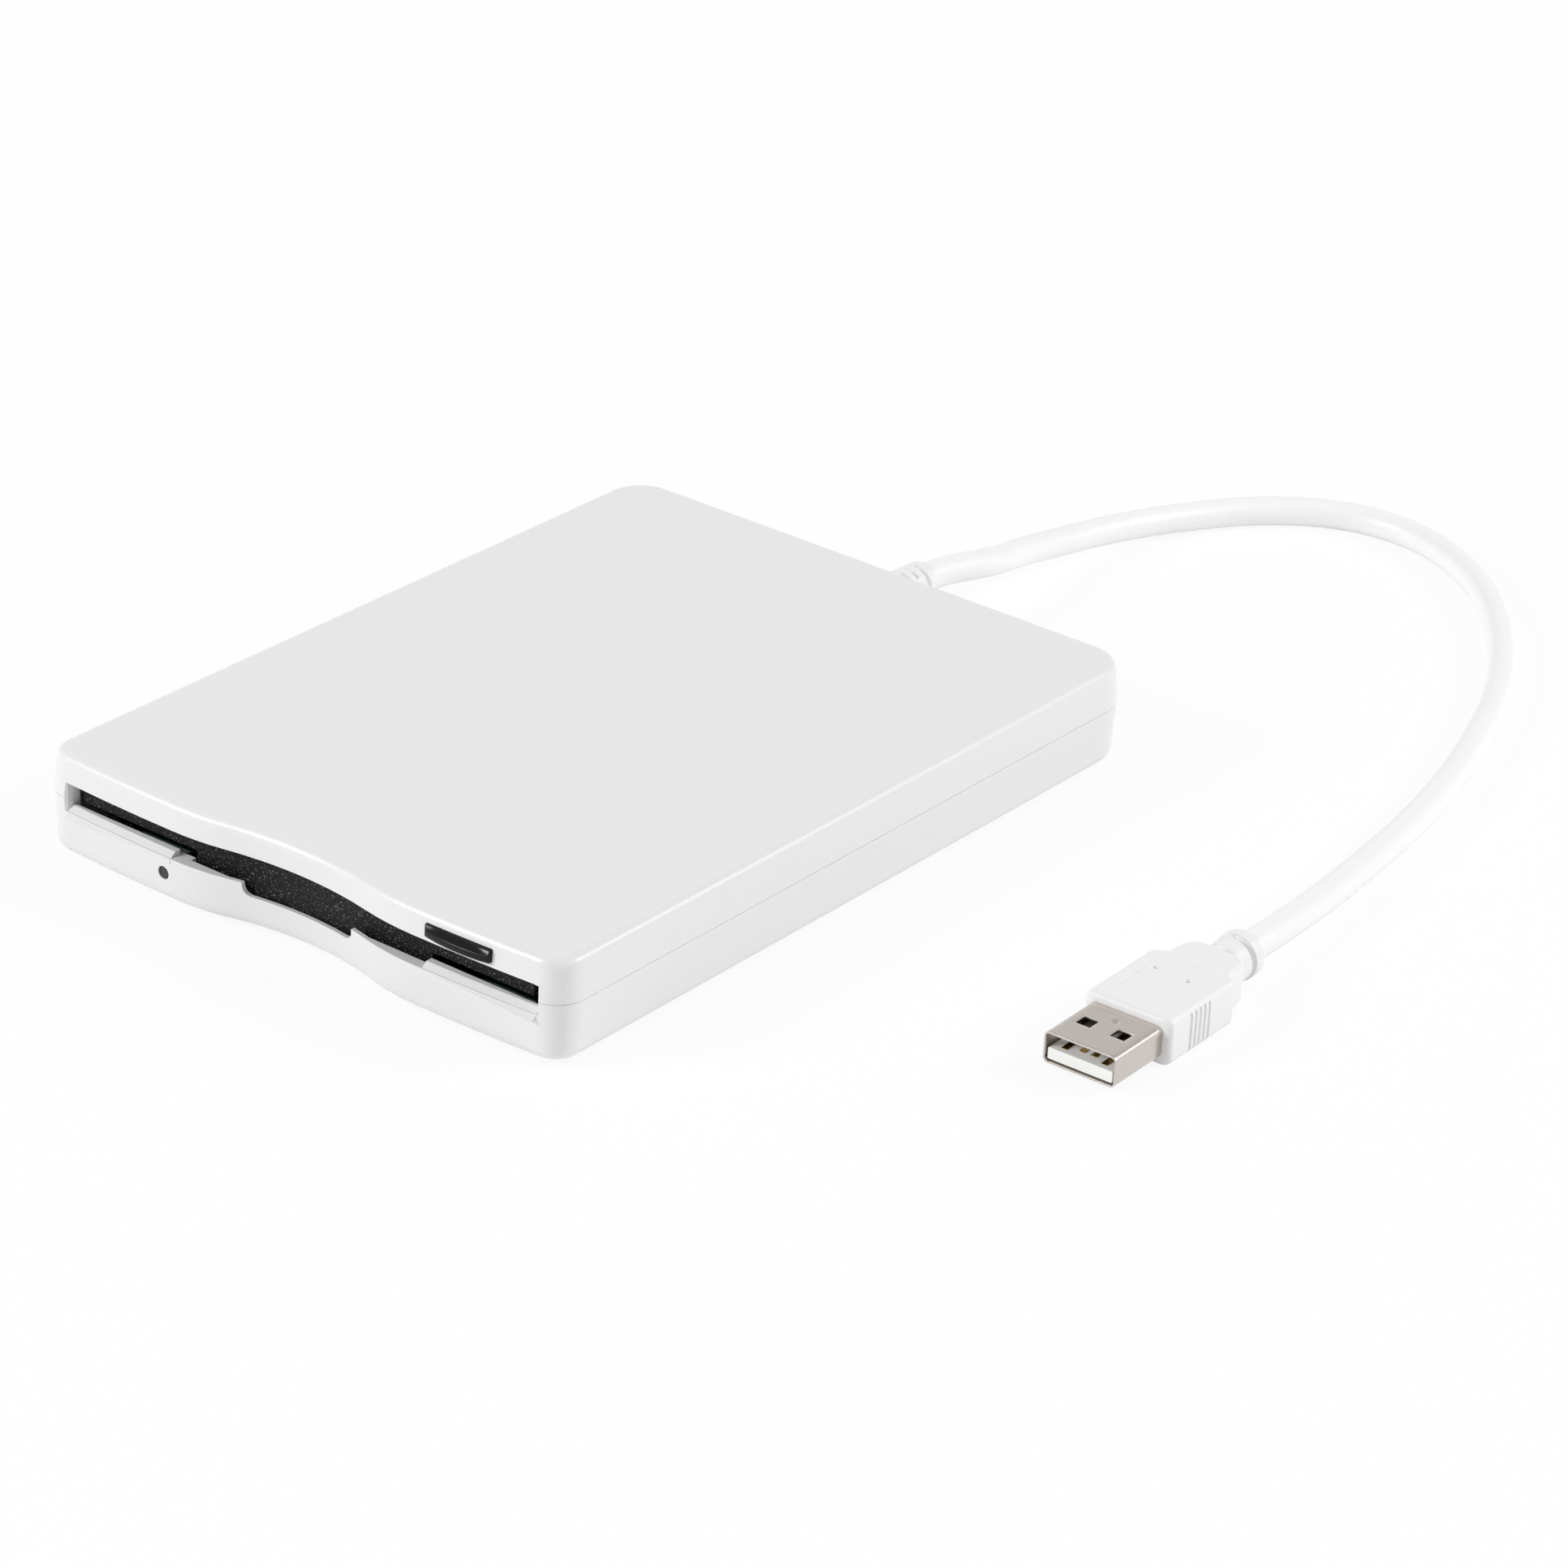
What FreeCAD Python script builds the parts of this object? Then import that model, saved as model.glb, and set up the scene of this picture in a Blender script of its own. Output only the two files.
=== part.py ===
import FreeCAD, Part
import math
import os
from FreeCAD import Vector

# External floppy disk drive, all sizes in millimetres.
# X runs left to right seen from the front, Y from the front face to the back, Z up.
# The origin is under the middle of the case, on the surface that the feet stand on.
# Places are given as x, depth behind the front face, and height above the case's underside.

# Case
case_width = 104.0
case_depth = 142.8
case_height = 17.1
seam_height = 10.1
side_wall = 1.8
front_wall = 2.9
floor_wall = 1.8
roof_wall = 1.5
front_corner_radius = 5.0
rear_corner_radius = 7.4
inner_corner_radius = 1.2
cover_draft = 0.077
base_draft = 0.048
top_edge_radius = 1.6
bottom_edge_radius = 2.4
scoop_half_width = 24.0
scoop_depth = 3.5
scoop_lean = 0.08
scoop_shoulder_share = 0.42
cheek_radius = 380.0
foot_height = 0.8
foot_radius = 4.0
foot_inset = 11.0
foot_front_depth = 14.0
foot_rear_room = 21.8
lap_height = 0.8
seam_groove = 0.12
lap_thickness = 0.8
fit_gap = 0.1

# Disk slot, finger notch, button opening and indicator hole in the front
slot_left_room = 5.5
slot_right_room = 4.8
slot_bottom = 7.8
slot_top = 12.65
slot_corner_radius = 0.9
notch_left = -11.4
notch_right = 10.4
notch_bottom = 5.7
notch_corner_radius = 1.6
notch_shelf = 0.7
pocket_depth = 2.0
pocket_left = -21.8
lip_height = 0.8
lip_front_inset = 0.2
lip_ramp = 1.0
lip_depth = 2.4
left_lip_end = -24.4
right_lip_start = 25.9
button_width = 12.5
button_side_room = 13.0
button_bottom = 13.3
button_top = 15.5
button_gap = 0.12
button_bulge = 1.35
lens_x = -25.9
lens_height = 4.9
lens_radius = 1.1

# Disk and mechanism
disk_side_room = 7.0
disk_front = 12.0
disk_rear_room = 36.8
disk_thickness = 3.3
disk_side_gap = 0.3
disk_roof_gap = 0.3
hub_share = 40.0 / 94.0
outer_track_share = 39.5 / 94.0
disk_low_height = 6.0
disk_drop = 2.6
eject_travel = 3.6
chassis_gap = 0.3
chassis_sheet = 0.8
chassis_front = 8.0
chassis_wall_inset = 8.0
chassis_wall_rear_inset = 4.0
running_gap = 0.3
slide_sheet = 0.6
slide_front_inset = 4.0
slide_rear_inset = 2.0
slide_bar_width = 6.2
holder_sheet = 0.5
holder_rear_inset = 6.0
holder_lip = 4.8
pin_radius = 1.0
pin_slot_gap = 0.05
holder_pin_inset = 14.0

# Dust flap
flap_thickness = 1.0
flap_axis_depth = 3.5
flap_axis_height = 12.6
flap_bottom = 9.2
flap_tongue_bottom = 5.3
flap_scoop_depth = 1.2
flap_pin_radius = 0.45
flap_pin_length = 1.2

# Heads and carriage
head_travel = 15.0
head_size = 5.0
arm_length = 32.0
arm_pivot_height = 13.2
arm_sheet = 0.8
arm_half_width = 4.8
carriage_half_width = 16.5
carriage_bottom = 2.35
carriage_top = 5.7
rod_radius = 1.2
rod_spacing = 26.0
rod_height = 4.1
rod_gap = 0.05
screw_x = 26.0
screw_height = 8.6
screw_radius = 1.5
motor_radius = 5.5
motor_gap = 3.0
motor_rear_gap = 2.5

# Spindle motor
shaft_radius = 2.0
shaft_top = 7.5
rotor_radius = 14.0
rotor_sheet = 0.6
board_thickness = 0.6

# Cable, boot and plug
cable_radius = 2.5
boot_radius = 3.5
boot_neck_radius = 3.0
boot_length = 12.2
boot_ring_width = 0.7
plug_width = 15.5
plug_thickness = 8.0
plug_body_length = 18.0
plug_neck_length = 16.5
plug_shell_width = 12.0
plug_shell_height = 4.5
plug_shell_length = 12.0
plug_shell_wall = 0.3

# Route of the cable's centre line from the boot to the plug: x, distance behind the case, and height
# above the surface that the feet stand on
cable_places = [
    (0.0, 12.2, 10.9), (0.0, 20.6, 10.9), (-0.6, 30.1, 7.9), (-2.4, 39.6, 4.2),
    (-3.6, 50.6, 2.5), (-1.2, 64.1, 2.5), (5.8, 78.6, 2.5), (14.6, 91.9, 2.5),
    (26.4, 99.8, 2.5), (41.0, 101.8, 2.5), (54.8, 96.8, 2.5), (69.0, 84.4, 2.5),
    (85.5, 59.6, 2.5), (95.1, 32.4, 2.5), (101.1, 8.0, 2.5), (104.1, -15.4, 2.5),
    (106.7, -33.8, 4.0), (107.0, -45.8, 4.0),
]

# Worked out from the values above
half_width = case_width / 2
cable_route = [(x, case_depth / 2 + behind, height) for x, behind, height in cable_places]
foot_rear_depth = case_depth - foot_rear_room
slot_left = slot_left_room - half_width
slot_right = half_width - slot_right_room
button_right = half_width - button_side_room
button_left = button_right - button_width
disk_width = case_width - 2 * disk_side_room
disk_length = case_depth - disk_front - disk_rear_room
flap_half_width = disk_width / 2
spindle_depth = disk_front + hub_share * disk_length
outer_track_radius = outer_track_share * disk_length
holder_front = disk_front
holder_rear = disk_front + disk_length - holder_rear_inset
front_pin_depth = holder_front + holder_pin_inset
rear_pin_depth = holder_rear - holder_pin_inset
slide_front = holder_front + slide_front_inset
slide_rear = holder_rear - slide_rear_inset
chassis_wall_front = holder_front + chassis_wall_inset
chassis_wall_rear = holder_rear - chassis_wall_rear_inset
chassis_bottom = floor_wall + chassis_gap
chassis_top = chassis_bottom + chassis_sheet
disk_high_height = disk_low_height + disk_drop
holder_inner = disk_width / 2 + disk_side_gap
holder_outer = holder_inner + holder_sheet
holder_lip_top = disk_high_height - fit_gap
holder_roof = disk_high_height + disk_thickness + disk_roof_gap
holder_top = holder_roof + holder_sheet
slide_inner = holder_outer + running_gap
slide_outer = slide_inner + slide_sheet
slide_bottom = chassis_top + fit_gap
slide_top = 12.0
chassis_inner = slide_outer + running_gap
chassis_outer = chassis_inner + chassis_sheet
chassis_wall_top = 12.6
pin_height = (holder_lip_top + holder_roof) / 2
head_depth = spindle_depth + outer_track_radius
arm_pivot_depth = head_depth + arm_length
motor_front = arm_pivot_depth + motor_gap
motor_length = case_depth - side_wall - motor_rear_gap - motor_front
board_bottom = chassis_top
board_top = board_bottom + board_thickness
flange_bottom = button_bottom
flange_top = flange_bottom + slide_sheet


def at(x, depth, height):
    return Vector(x, depth - case_depth / 2, foot_height + height)


def block(x0, x1, d0, d1, h0, h1):
    return Part.makeBox(x1 - x0, d1 - d0, h1 - h0, at(x0, d0, h0))


def rod(radius, start, end):
    way = end - start
    return Part.makeCylinder(radius, way.Length, start, way)


def upright(x, depth, radius, h0, h1):
    return rod(radius, at(x, depth, h0), at(x, depth, h1))


def tube(x, depth, outer, inner, h0, h1):
    return upright(x, depth, outer, h0, h1).cut(upright(x, depth, inner, h0, h1))


def plate(points, h0, h1):
    corners = [at(x, depth, h0) for x, depth in points]
    face = Part.Face(Part.makePolygon(corners + corners[:1]))
    return face.extrude(Vector(0, 0, h1 - h0))


def side_profile(points, x0, x1):
    corners = [at(x0, depth, height) for depth, height in points]
    face = Part.Face(Part.makePolygon(corners + corners[:1]))
    return face.extrude(Vector(x1 - x0, 0, 0))


def mirrored(shape):
    return shape.mirror(Vector(0, 0, 0), Vector(1, 0, 0))


def both_sides(shape):
    return shape.fuse(mirrored(shape))


def save(name, *shapes):
    solid = shapes[0] if len(shapes) == 1 else Part.makeCompound(list(shapes))
    solid = solid.removeSplitter() if len(shapes) == 1 else solid
    solid.exportStep("parts/" + name + ".step")
    print(name, "solids", len(solid.Solids), "volume", round(solid.Volume, 1), "valid", solid.isValid())


# The hollow in the front face: three arcs, an S on each side of the middle
def scoop_arcs(depth, inset):
    turn = 2 * math.atan(depth / scoop_half_width)
    whole = scoop_half_width / math.sin(turn)
    shoulder = scoop_shoulder_share * whole
    radius = shoulder - inset

    def on_shoulder(angle):
        x = scoop_half_width - radius * math.sin(angle)
        return (x, shoulder - radius * math.cos(angle))

    return {"start": on_shoulder(0.0), "middle": on_shoulder(turn / 2),
            "bend": on_shoulder(turn), "bottom": (0.0, depth + inset)}


def arc(points, height):
    first, middle, last = [at(x, depth, height) for x, depth in points]
    return Part.Arc(first, middle, last).toShape()


def flipped(points):
    return [(-x, depth) for x, depth in reversed(points)]


# One closed outline of the case at a height, drawn in by a wall at the sides and at the front
def case_outline(height, side_inset, front_inset):
    draft = base_draft if height < seam_height else cover_draft
    drawn_in = abs(height - seam_height) * draft
    side = side_inset + drawn_in
    front = front_inset + drawn_in
    scoop = scoop_arcs(scoop_depth - scoop_lean * height, front)
    corner = max(front_corner_radius - max(side, front), inner_corner_radius)
    corner_x = half_width - side - corner
    reach = cheek_radius - front - corner
    sine = (corner_x - scoop_half_width) / reach
    corner_depth = cheek_radius - reach * math.sqrt(1 - sine * sine)
    turn = math.asin(sine)
    cheek = cheek_radius - front

    def on_cheek(angle):
        return (scoop_half_width + cheek * math.sin(angle), cheek_radius - cheek * math.cos(angle))

    def on_corner(angle):
        return (corner_x + corner * math.sin(angle), corner_depth - corner * math.cos(angle))

    rear = max(rear_corner_radius - side, inner_corner_radius)
    rear_x = half_width - side - rear
    rear_depth = case_depth - side - rear

    def on_rear(angle):
        return (rear_x + rear * math.cos(angle), rear_depth + rear * math.sin(angle))

    right = [
        [scoop["bend"], scoop["middle"], scoop["start"]],
        [scoop["start"], on_cheek(turn / 2), on_cheek(turn)],
        [on_cheek(turn), on_corner((turn + math.pi / 2) / 2), on_corner(math.pi / 2)],
        [on_corner(math.pi / 2), on_rear(0.0)],
        [on_rear(0.0), on_rear(math.pi / 4), on_rear(math.pi / 2)],
    ]
    left = [flipped(points) for points in reversed(right)]
    middle = [(-scoop["bend"][0], scoop["bend"][1]), scoop["bottom"], scoop["bend"]]
    back = [right[-1][-1], left[0][0]]
    edges = []
    for points in [middle] + right + [back] + left:
        if len(points) == 3:
            edges.append(arc(points, height))
        else:
            edges.append(Part.makeLine(at(*points[0], height), at(*points[1], height)))
    return Part.Wire(edges)


def case_slice(h0, h1, side_inset, front_inset):
    lower = case_outline(h0, side_inset, front_inset)
    upper = case_outline(h1, side_inset, front_inset)
    return Part.makeLoft([lower, upper], True, True)


def flat_face(solid, top):
    pick = max if top else min
    return pick(solid.Faces, key=lambda face: face.CenterOfMass.z)


# The disk slot: a mouth through the front wall with softened ends
def slot_cutter():
    height = slot_top - slot_bottom
    cutter = Part.makeBox(slot_right - slot_left, 20.0, height, at(slot_left, -8.0, slot_bottom))
    return cutter


# Where the slot's end walls meet the face they are rounded, so a flare opens the mouth
def slot_flare():
    flares = []
    for end, way in ((slot_left, -1), (slot_right, 1)):
        depth = cheek_radius - math.sqrt(cheek_radius ** 2 - (abs(end) - scoop_half_width) ** 2)
        points = [(end - way, depth - 2), (end + way * slot_corner_radius * 0.7, depth - 2),
                  (end + way * slot_corner_radius * 0.7, depth),
                  (end + way * slot_corner_radius * 0.2, depth + slot_corner_radius * 0.5),
                  (end, depth + slot_corner_radius * 1.4), (end - way, depth + slot_corner_radius * 1.4)]
        flares.append(plate(points, slot_bottom, slot_top))
    return flares


def notch_cutter():
    width = notch_right - notch_left
    notch = Part.makeBox(width, 20.0, slot_bottom - notch_bottom + 1, at(notch_left, -4.0, notch_bottom))
    lower = [edge for edge in notch.Edges
             if abs(edge.CenterOfMass.z - foot_height - notch_bottom) < 0.01
             and edge.BoundBox.YLength > 1]
    notch = notch.makeFillet(notch_corner_radius, lower)
    tongue = case_slice(flap_tongue_bottom - running_gap, slot_bottom, side_wall, notch_shelf)
    wide = block(pocket_left, right_lip_start, pocket_depth, 20, 0, case_height)
    narrow = block(notch_left, notch_right, 0, 20, 0, case_height)
    return notch.fuse(tongue.common(wide.fuse(narrow)))


# Ramped rails on the slot's floor that the disk slides in over
def slot_lips():
    lower = case_outline(slot_bottom - lip_height, lip_front_inset + side_wall, lip_front_inset - lip_ramp)
    upper = case_outline(slot_bottom + lip_height, lip_front_inset + side_wall, lip_front_inset + lip_ramp)
    wedge = Part.makeLoft([lower, upper], True, True)
    left = block(slot_left, left_lip_end, 0, lip_depth, slot_bottom - lip_height, slot_bottom + lip_height)
    right = block(right_lip_start, slot_right, 0, lip_depth,
                  slot_bottom - lip_height, slot_bottom + lip_height)
    return wedge.common(left.fuse(right))


# A fine groove round the case that shows where its halves meet
def seam_ring():
    outer = case_slice(seam_height - seam_groove, seam_height, -1.0, -1.0)
    inner = case_slice(seam_height - 2 * seam_groove, seam_height + seam_groove, seam_groove, seam_groove)
    return outer.cut(inner)


def lap_ring(extra):
    outer = case_slice(seam_height - lap_height, seam_height + lap_height + extra,
                       side_wall - lap_thickness - extra, side_wall - lap_thickness - extra)
    inner = case_slice(seam_height - lap_height * 2, seam_height + lap_height * 2, side_wall, side_wall)
    keep = block(-half_width, half_width, 12.0, case_depth, seam_height - lap_height - 1,
                 seam_height + lap_height + 1)
    return outer.cut(inner).common(keep)


screw_place_x = half_width - 8.0
screw_x_places = (-screw_place_x, screw_place_x)
screw_depth = case_depth - 8.8
boss_radius = 3.2
screw_radius_case = 0.85
screw_hole_radius = 1.1
screw_head_radius = 2.0
screw_head_height = 1.3
screw_well_depth = 2.0
screw_length = 10.5
hook_depths = (40.0, 105.0)
hook_width = 6.0
hook_thickness = 0.9
hook_reach = 2.2
hook_barb = 0.4


def hooks():
    outer = half_width - side_wall - fit_gap
    solids = []
    for depth in hook_depths:
        d0 = depth - hook_width / 2
        d1 = depth + hook_width / 2
        stem = block(outer - hook_thickness, outer, d0, d1, seam_height - hook_reach,
                     seam_height + lap_height + 2.5)
        root = block(outer - hook_thickness, outer + 0.3, d0, d1, seam_height + lap_height + 0.3,
                     seam_height + lap_height + 2.5)
        points = [(outer, seam_height - hook_reach), (outer + hook_barb, seam_height - 1.4),
                  (outer + hook_barb, seam_height - 1.1),
                  (outer, seam_height - 1.1)]
        corners = [at(x, d0, height) for x, height in points]
        barb = Part.Face(Part.makePolygon(corners + corners[:1])).extrude(Vector(0, d1 - d0, 0))
        solids.append(stem.fuse(root).fuse(barb))
    return both_sides(solids[0].fuse(solids[1]))


def hook_pockets():
    outer = half_width - side_wall - fit_gap
    pockets = []
    for depth in hook_depths:
        pockets.append(block(outer - 0.5, outer + hook_barb + 3 * fit_gap, depth - hook_width / 2 - 0.2,
                             depth + hook_width / 2 + 0.2, seam_height - hook_reach - 0.2,
                             seam_height - 0.8))
        pockets.append(block(outer - 1.5, outer + fit_gap, depth - hook_width / 2 - 0.2,
                             depth + hook_width / 2 + 0.2, seam_height - hook_reach - 0.2,
                             seam_height + lap_height + 0.2))
    whole = pockets[0]
    for pocket in pockets[1:]:
        whole = whole.fuse(pocket)
    return both_sides(whole)


boot_x = 0.0
board_stand_height = 4.2
control_board_left = 12.0 - half_width
control_board_split = -21.0
control_board_right = 14.0
control_board_front = case_depth - 34.8
control_board_step = case_depth - 10.2
control_board_rear = case_depth - 3.4
board_stand_inset = 3.0
board_stand_rear = control_board_rear - 3.4
board_stands = ((control_board_left + board_stand_inset, control_board_front + board_stand_inset),
                (control_board_split - board_stand_inset, control_board_front + board_stand_inset),
                (control_board_split - board_stand_inset, board_stand_rear),
                (control_board_right - 4.0, board_stand_rear))
post_x = chassis_outer - 4.3
chassis_side_rear = screw_depth - 14.0
chassis_left_rear = control_board_front - 2.0
chassis_posts = ((-post_x, chassis_front + 2.0), (post_x, chassis_front + 2.0),
                 (-post_x, chassis_left_rear - 4.0), (post_x, chassis_side_rear - 4.0))
post_radius = 2.4
post_screw_radius = 0.8


def base_shell():
    shell = case_slice(0.0, seam_height, 0.0, 0.0)
    shell = shell.makeFillet(bottom_edge_radius, flat_face(shell, False).Edges)
    shell = shell.cut(case_slice(floor_wall, seam_height, side_wall, front_wall))
    shell = shell.cut(seam_ring())
    shell = shell.fuse(lap_ring(0.0))
    shell = shell.cut(slot_cutter()).cut(notch_cutter())
    for flare in slot_flare():
        shell = shell.cut(flare)
    shell = shell.fuse(slot_lips())
    shell = shell.cut(rod(lens_radius, at(lens_x, -2, lens_height), at(lens_x, front_wall + 2, lens_height)))
    shell = shell.cut(rod(boot_neck_radius, at(boot_x, case_depth - 4, seam_height),
                          at(boot_x, case_depth + 1, seam_height)))
    for x in screw_x_places:
        shell = shell.fuse(upright(x, screw_depth, boss_radius, floor_wall / 2, seam_height - fit_gap))
        shell = shell.cut(upright(x, screw_depth, screw_hole_radius, -1, seam_height + 1))
        shell = shell.cut(upright(x, screw_depth, screw_head_radius + 0.2, -1, screw_well_depth))
    for x, depth in chassis_posts:
        shell = shell.fuse(upright(x, depth, post_radius, floor_wall / 2, chassis_bottom))
        shell = shell.cut(upright(x, depth, post_screw_radius, floor_wall / 2 - 0.2, chassis_bottom + 1))
    for x, depth in board_stands:
        shell = shell.fuse(upright(x, depth, 1.6, floor_wall / 2, board_stand_height))
    return shell.cut(hook_pockets())


def top_cover():
    cover = case_slice(seam_height, case_height, 0.0, 0.0)
    cover = cover.makeFillet(top_edge_radius, flat_face(cover, True).Edges)
    cover = cover.cut(case_slice(seam_height, case_height - roof_wall, side_wall, front_wall))
    cover = cover.cut(lap_ring(fit_gap))
    cover = cover.cut(slot_cutter())
    for flare in slot_flare():
        cover = cover.cut(flare)
    relief = case_slice(slot_top - 0.5, slot_top + 1.9, side_wall, 1.0)
    relief = relief.common(block(-scoop_half_width - 1, scoop_half_width + 1, 0, 9, 0, case_height))
    cover = cover.cut(relief)
    barrel_room = flap_thickness / 2 + fit_gap
    cover = cover.cut(block(-flap_half_width - running_gap, flap_half_width + running_gap,
                            flap_axis_depth - barrel_room, 9, slot_top - 0.5,
                            flap_axis_height + barrel_room + fit_gap))
    cover = cover.cut(block(button_left, button_right, -2, front_wall + 2, button_bottom, button_top))
    cover = cover.cut(rod(boot_neck_radius, at(boot_x, case_depth - 4, seam_height),
                          at(boot_x, case_depth + 1, seam_height)))
    for x in screw_x_places:
        boss = upright(x, screw_depth, boss_radius, seam_height + fit_gap, case_height - roof_wall / 2)
        cover = cover.fuse(boss)
        cover = cover.cut(upright(x, screw_depth, screw_radius_case, seam_height,
                                  case_height - roof_wall - 1))
    pin_end = flap_half_width + flap_pin_length
    ear = block(pin_end - 0.9, pin_end + 0.6, front_wall - 0.2, flap_axis_depth + 1.4,
                flap_axis_height - 1.3, case_height - roof_wall / 2)
    cover = cover.fuse(both_sides(ear))
    bore = rod(flap_pin_radius + rod_gap, at(-pin_end - 0.1, flap_axis_depth, flap_axis_height),
               at(pin_end + 0.1, flap_axis_depth, flap_axis_height))
    ends = block(flap_half_width, half_width - 2, 0, 10, 0, case_height)
    cover = cover.cut(bore.common(both_sides(ends)))
    return cover.fuse(hooks())


def case_screws():
    screws = []
    for x in screw_x_places:
        head_top = screw_well_depth
        head = upright(x, screw_depth, screw_head_radius, head_top - screw_head_height, head_top)
        shank = upright(x, screw_depth, screw_radius_case, head_top, head_top + screw_length)
        screw = head.fuse(shank)
        for turn in (0, 90):
            cross = Part.makeBox(2.2, 0.5, 0.6, at(x - 1.1, screw_depth - 0.25, head_top - screw_head_height))
            cross.rotate(at(x, screw_depth, 0), Vector(0, 0, 1), turn)
            screw = screw.cut(cross)
        screws.append(screw)
    return screws


def rubber_feet():
    feet = []
    for x in (foot_inset - half_width, half_width - foot_inset):
        for depth in (foot_front_depth, foot_rear_depth):
            foot = upright(x, depth, foot_radius, -foot_height, 0.0)
            rim = [edge for edge in foot.Edges if edge.CenterOfMass.z < 0.01]
            feet.append(foot.makeChamfer(0.25, rim))
    return feet


# Dust flap: a thin door that follows the front's hollow and hangs on a pin at each end
def dust_flap():
    def edge_line(offset, height):
        scoop = scoop_arcs(flap_scoop_depth, 0.0)
        shift = [(x, depth + offset) for x, depth in
                 (scoop["start"], scoop["middle"], scoop["bend"], scoop["bottom"])]
        start, middle, bend, bottom = shift
        left_bend = (-bend[0], bend[1])
        right_end = (flap_half_width, offset)
        edges = [
            Part.makeLine(at(-flap_half_width, offset, height), at(-start[0], start[1], height)),
            arc([(-start[0], start[1]), (-middle[0], middle[1]), left_bend], height),
            arc([left_bend, bottom, bend], height),
            arc([bend, middle, start], height),
            Part.makeLine(at(start[0], start[1], height), at(*right_end, height)),
        ]
        return edges

    front = flap_axis_depth - flap_thickness / 2

    def band(h0, h1):
        near = edge_line(front, h0)
        far = edge_line(front + flap_thickness, h0)
        back = front + flap_thickness
        right = Part.makeLine(at(flap_half_width, front, h0), at(flap_half_width, back, h0))
        left = Part.makeLine(at(-flap_half_width, front, h0), at(-flap_half_width, back, h0))
        ring = Part.Wire(Part.__sortEdges__(near + [right] + far + [left]))
        return Part.Face(ring).extrude(Vector(0, 0, h1 - h0))

    top = flap_axis_height - fit_gap
    body = band(flap_bottom, top)
    tongue = band(flap_tongue_bottom, flap_bottom + 0.2)
    tongue = tongue.common(block(pocket_left + running_gap, right_lip_start - running_gap, 0, 12,
                                 0, case_height))
    body = body.fuse(tongue)
    barrel_start = scoop_half_width + 0.5
    barrel = rod(flap_thickness / 2, at(barrel_start, flap_axis_depth, flap_axis_height),
                 at(flap_half_width, flap_axis_depth, flap_axis_height))
    neck = block(barrel_start, flap_half_width, front, front + flap_thickness, top - 1, flap_axis_height)
    pin = rod(flap_pin_radius, at(flap_half_width - 1, flap_axis_depth, flap_axis_height),
              at(flap_half_width + flap_pin_length, flap_axis_depth, flap_axis_height))
    return body.fuse(both_sides(barrel.fuse(neck).fuse(pin)))


def status_lens():
    face = 0.5
    light = rod(lens_radius - 0.05, at(lens_x, face, lens_height), at(lens_x, 9.6, lens_height))
    collar = rod(lens_radius + 0.6, at(lens_x, front_wall + 0.7, lens_height),
                 at(lens_x, front_wall + 1.7, lens_height))
    return light.fuse(collar)


switch_board_front = chassis_front + 2.0
switch_board_rear = spindle_depth - 32.0
switch_board_half_width = slide_outer - slide_bar_width - 0.9
switch_x = switch_board_half_width - 3.1
switch_depth = (switch_board_front + switch_board_rear) / 2 + 1.0
plunger_radius = 0.8
plunger_top = 6.7
third_switch_x = switch_x - 7.5


def switch_board():
    board = block(-switch_board_half_width, switch_board_half_width, switch_board_front,
                  switch_board_rear, board_bottom, board_top)
    return board


def switch_places():
    return ((-switch_x, switch_depth), (switch_x, switch_depth), (third_switch_x, switch_depth))


def switch_bodies():
    bodies = []
    for x, depth in switch_places():
        body = block(x - 2.4, x + 2.4, depth - 2, depth + 2, board_top, board_top + 1.9)
        body = body.cut(upright(x, depth, plunger_radius + rod_gap, board_top + 0.25, board_top + 3))
        bodies.append(body)
    return bodies


def plunger(x, depth):
    stem = upright(x, depth, plunger_radius, board_top + 1.15, plunger_top)
    tip = [edge for edge in stem.Edges if edge.CenterOfMass.z > foot_height + plunger_top - 0.01]
    return stem.makeChamfer(0.3, tip)


def status_led():
    depth = 11.2
    body = block(lens_x - 1.6, lens_x + 1.6, 10.2, 12.2, board_top, board_top + 2.6)
    dome = rod(0.9, at(lens_x, 9.8, lens_height), at(lens_x, depth, lens_height))
    return body.fuse(dome)


# Chassis: a folded sheet tray that carries the whole mechanism
rod_half_spacing = rod_spacing / 2
window_half_width = 18.0
window_front = head_depth - head_travel - 7.0
window_rear = arm_pivot_depth + 4.0
rod_front = window_front - 1.5
rod_rear = window_rear + 2.0
chassis_rear = rod_rear + 1.5
motor_plate_left = screw_x - 10.0
motor_plate_right = screw_place_x - 6.0
motor_plate_rear = motor_front + motor_length + 0.5
tab_thickness = 1.5
bearing_radius = 4.0


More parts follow.
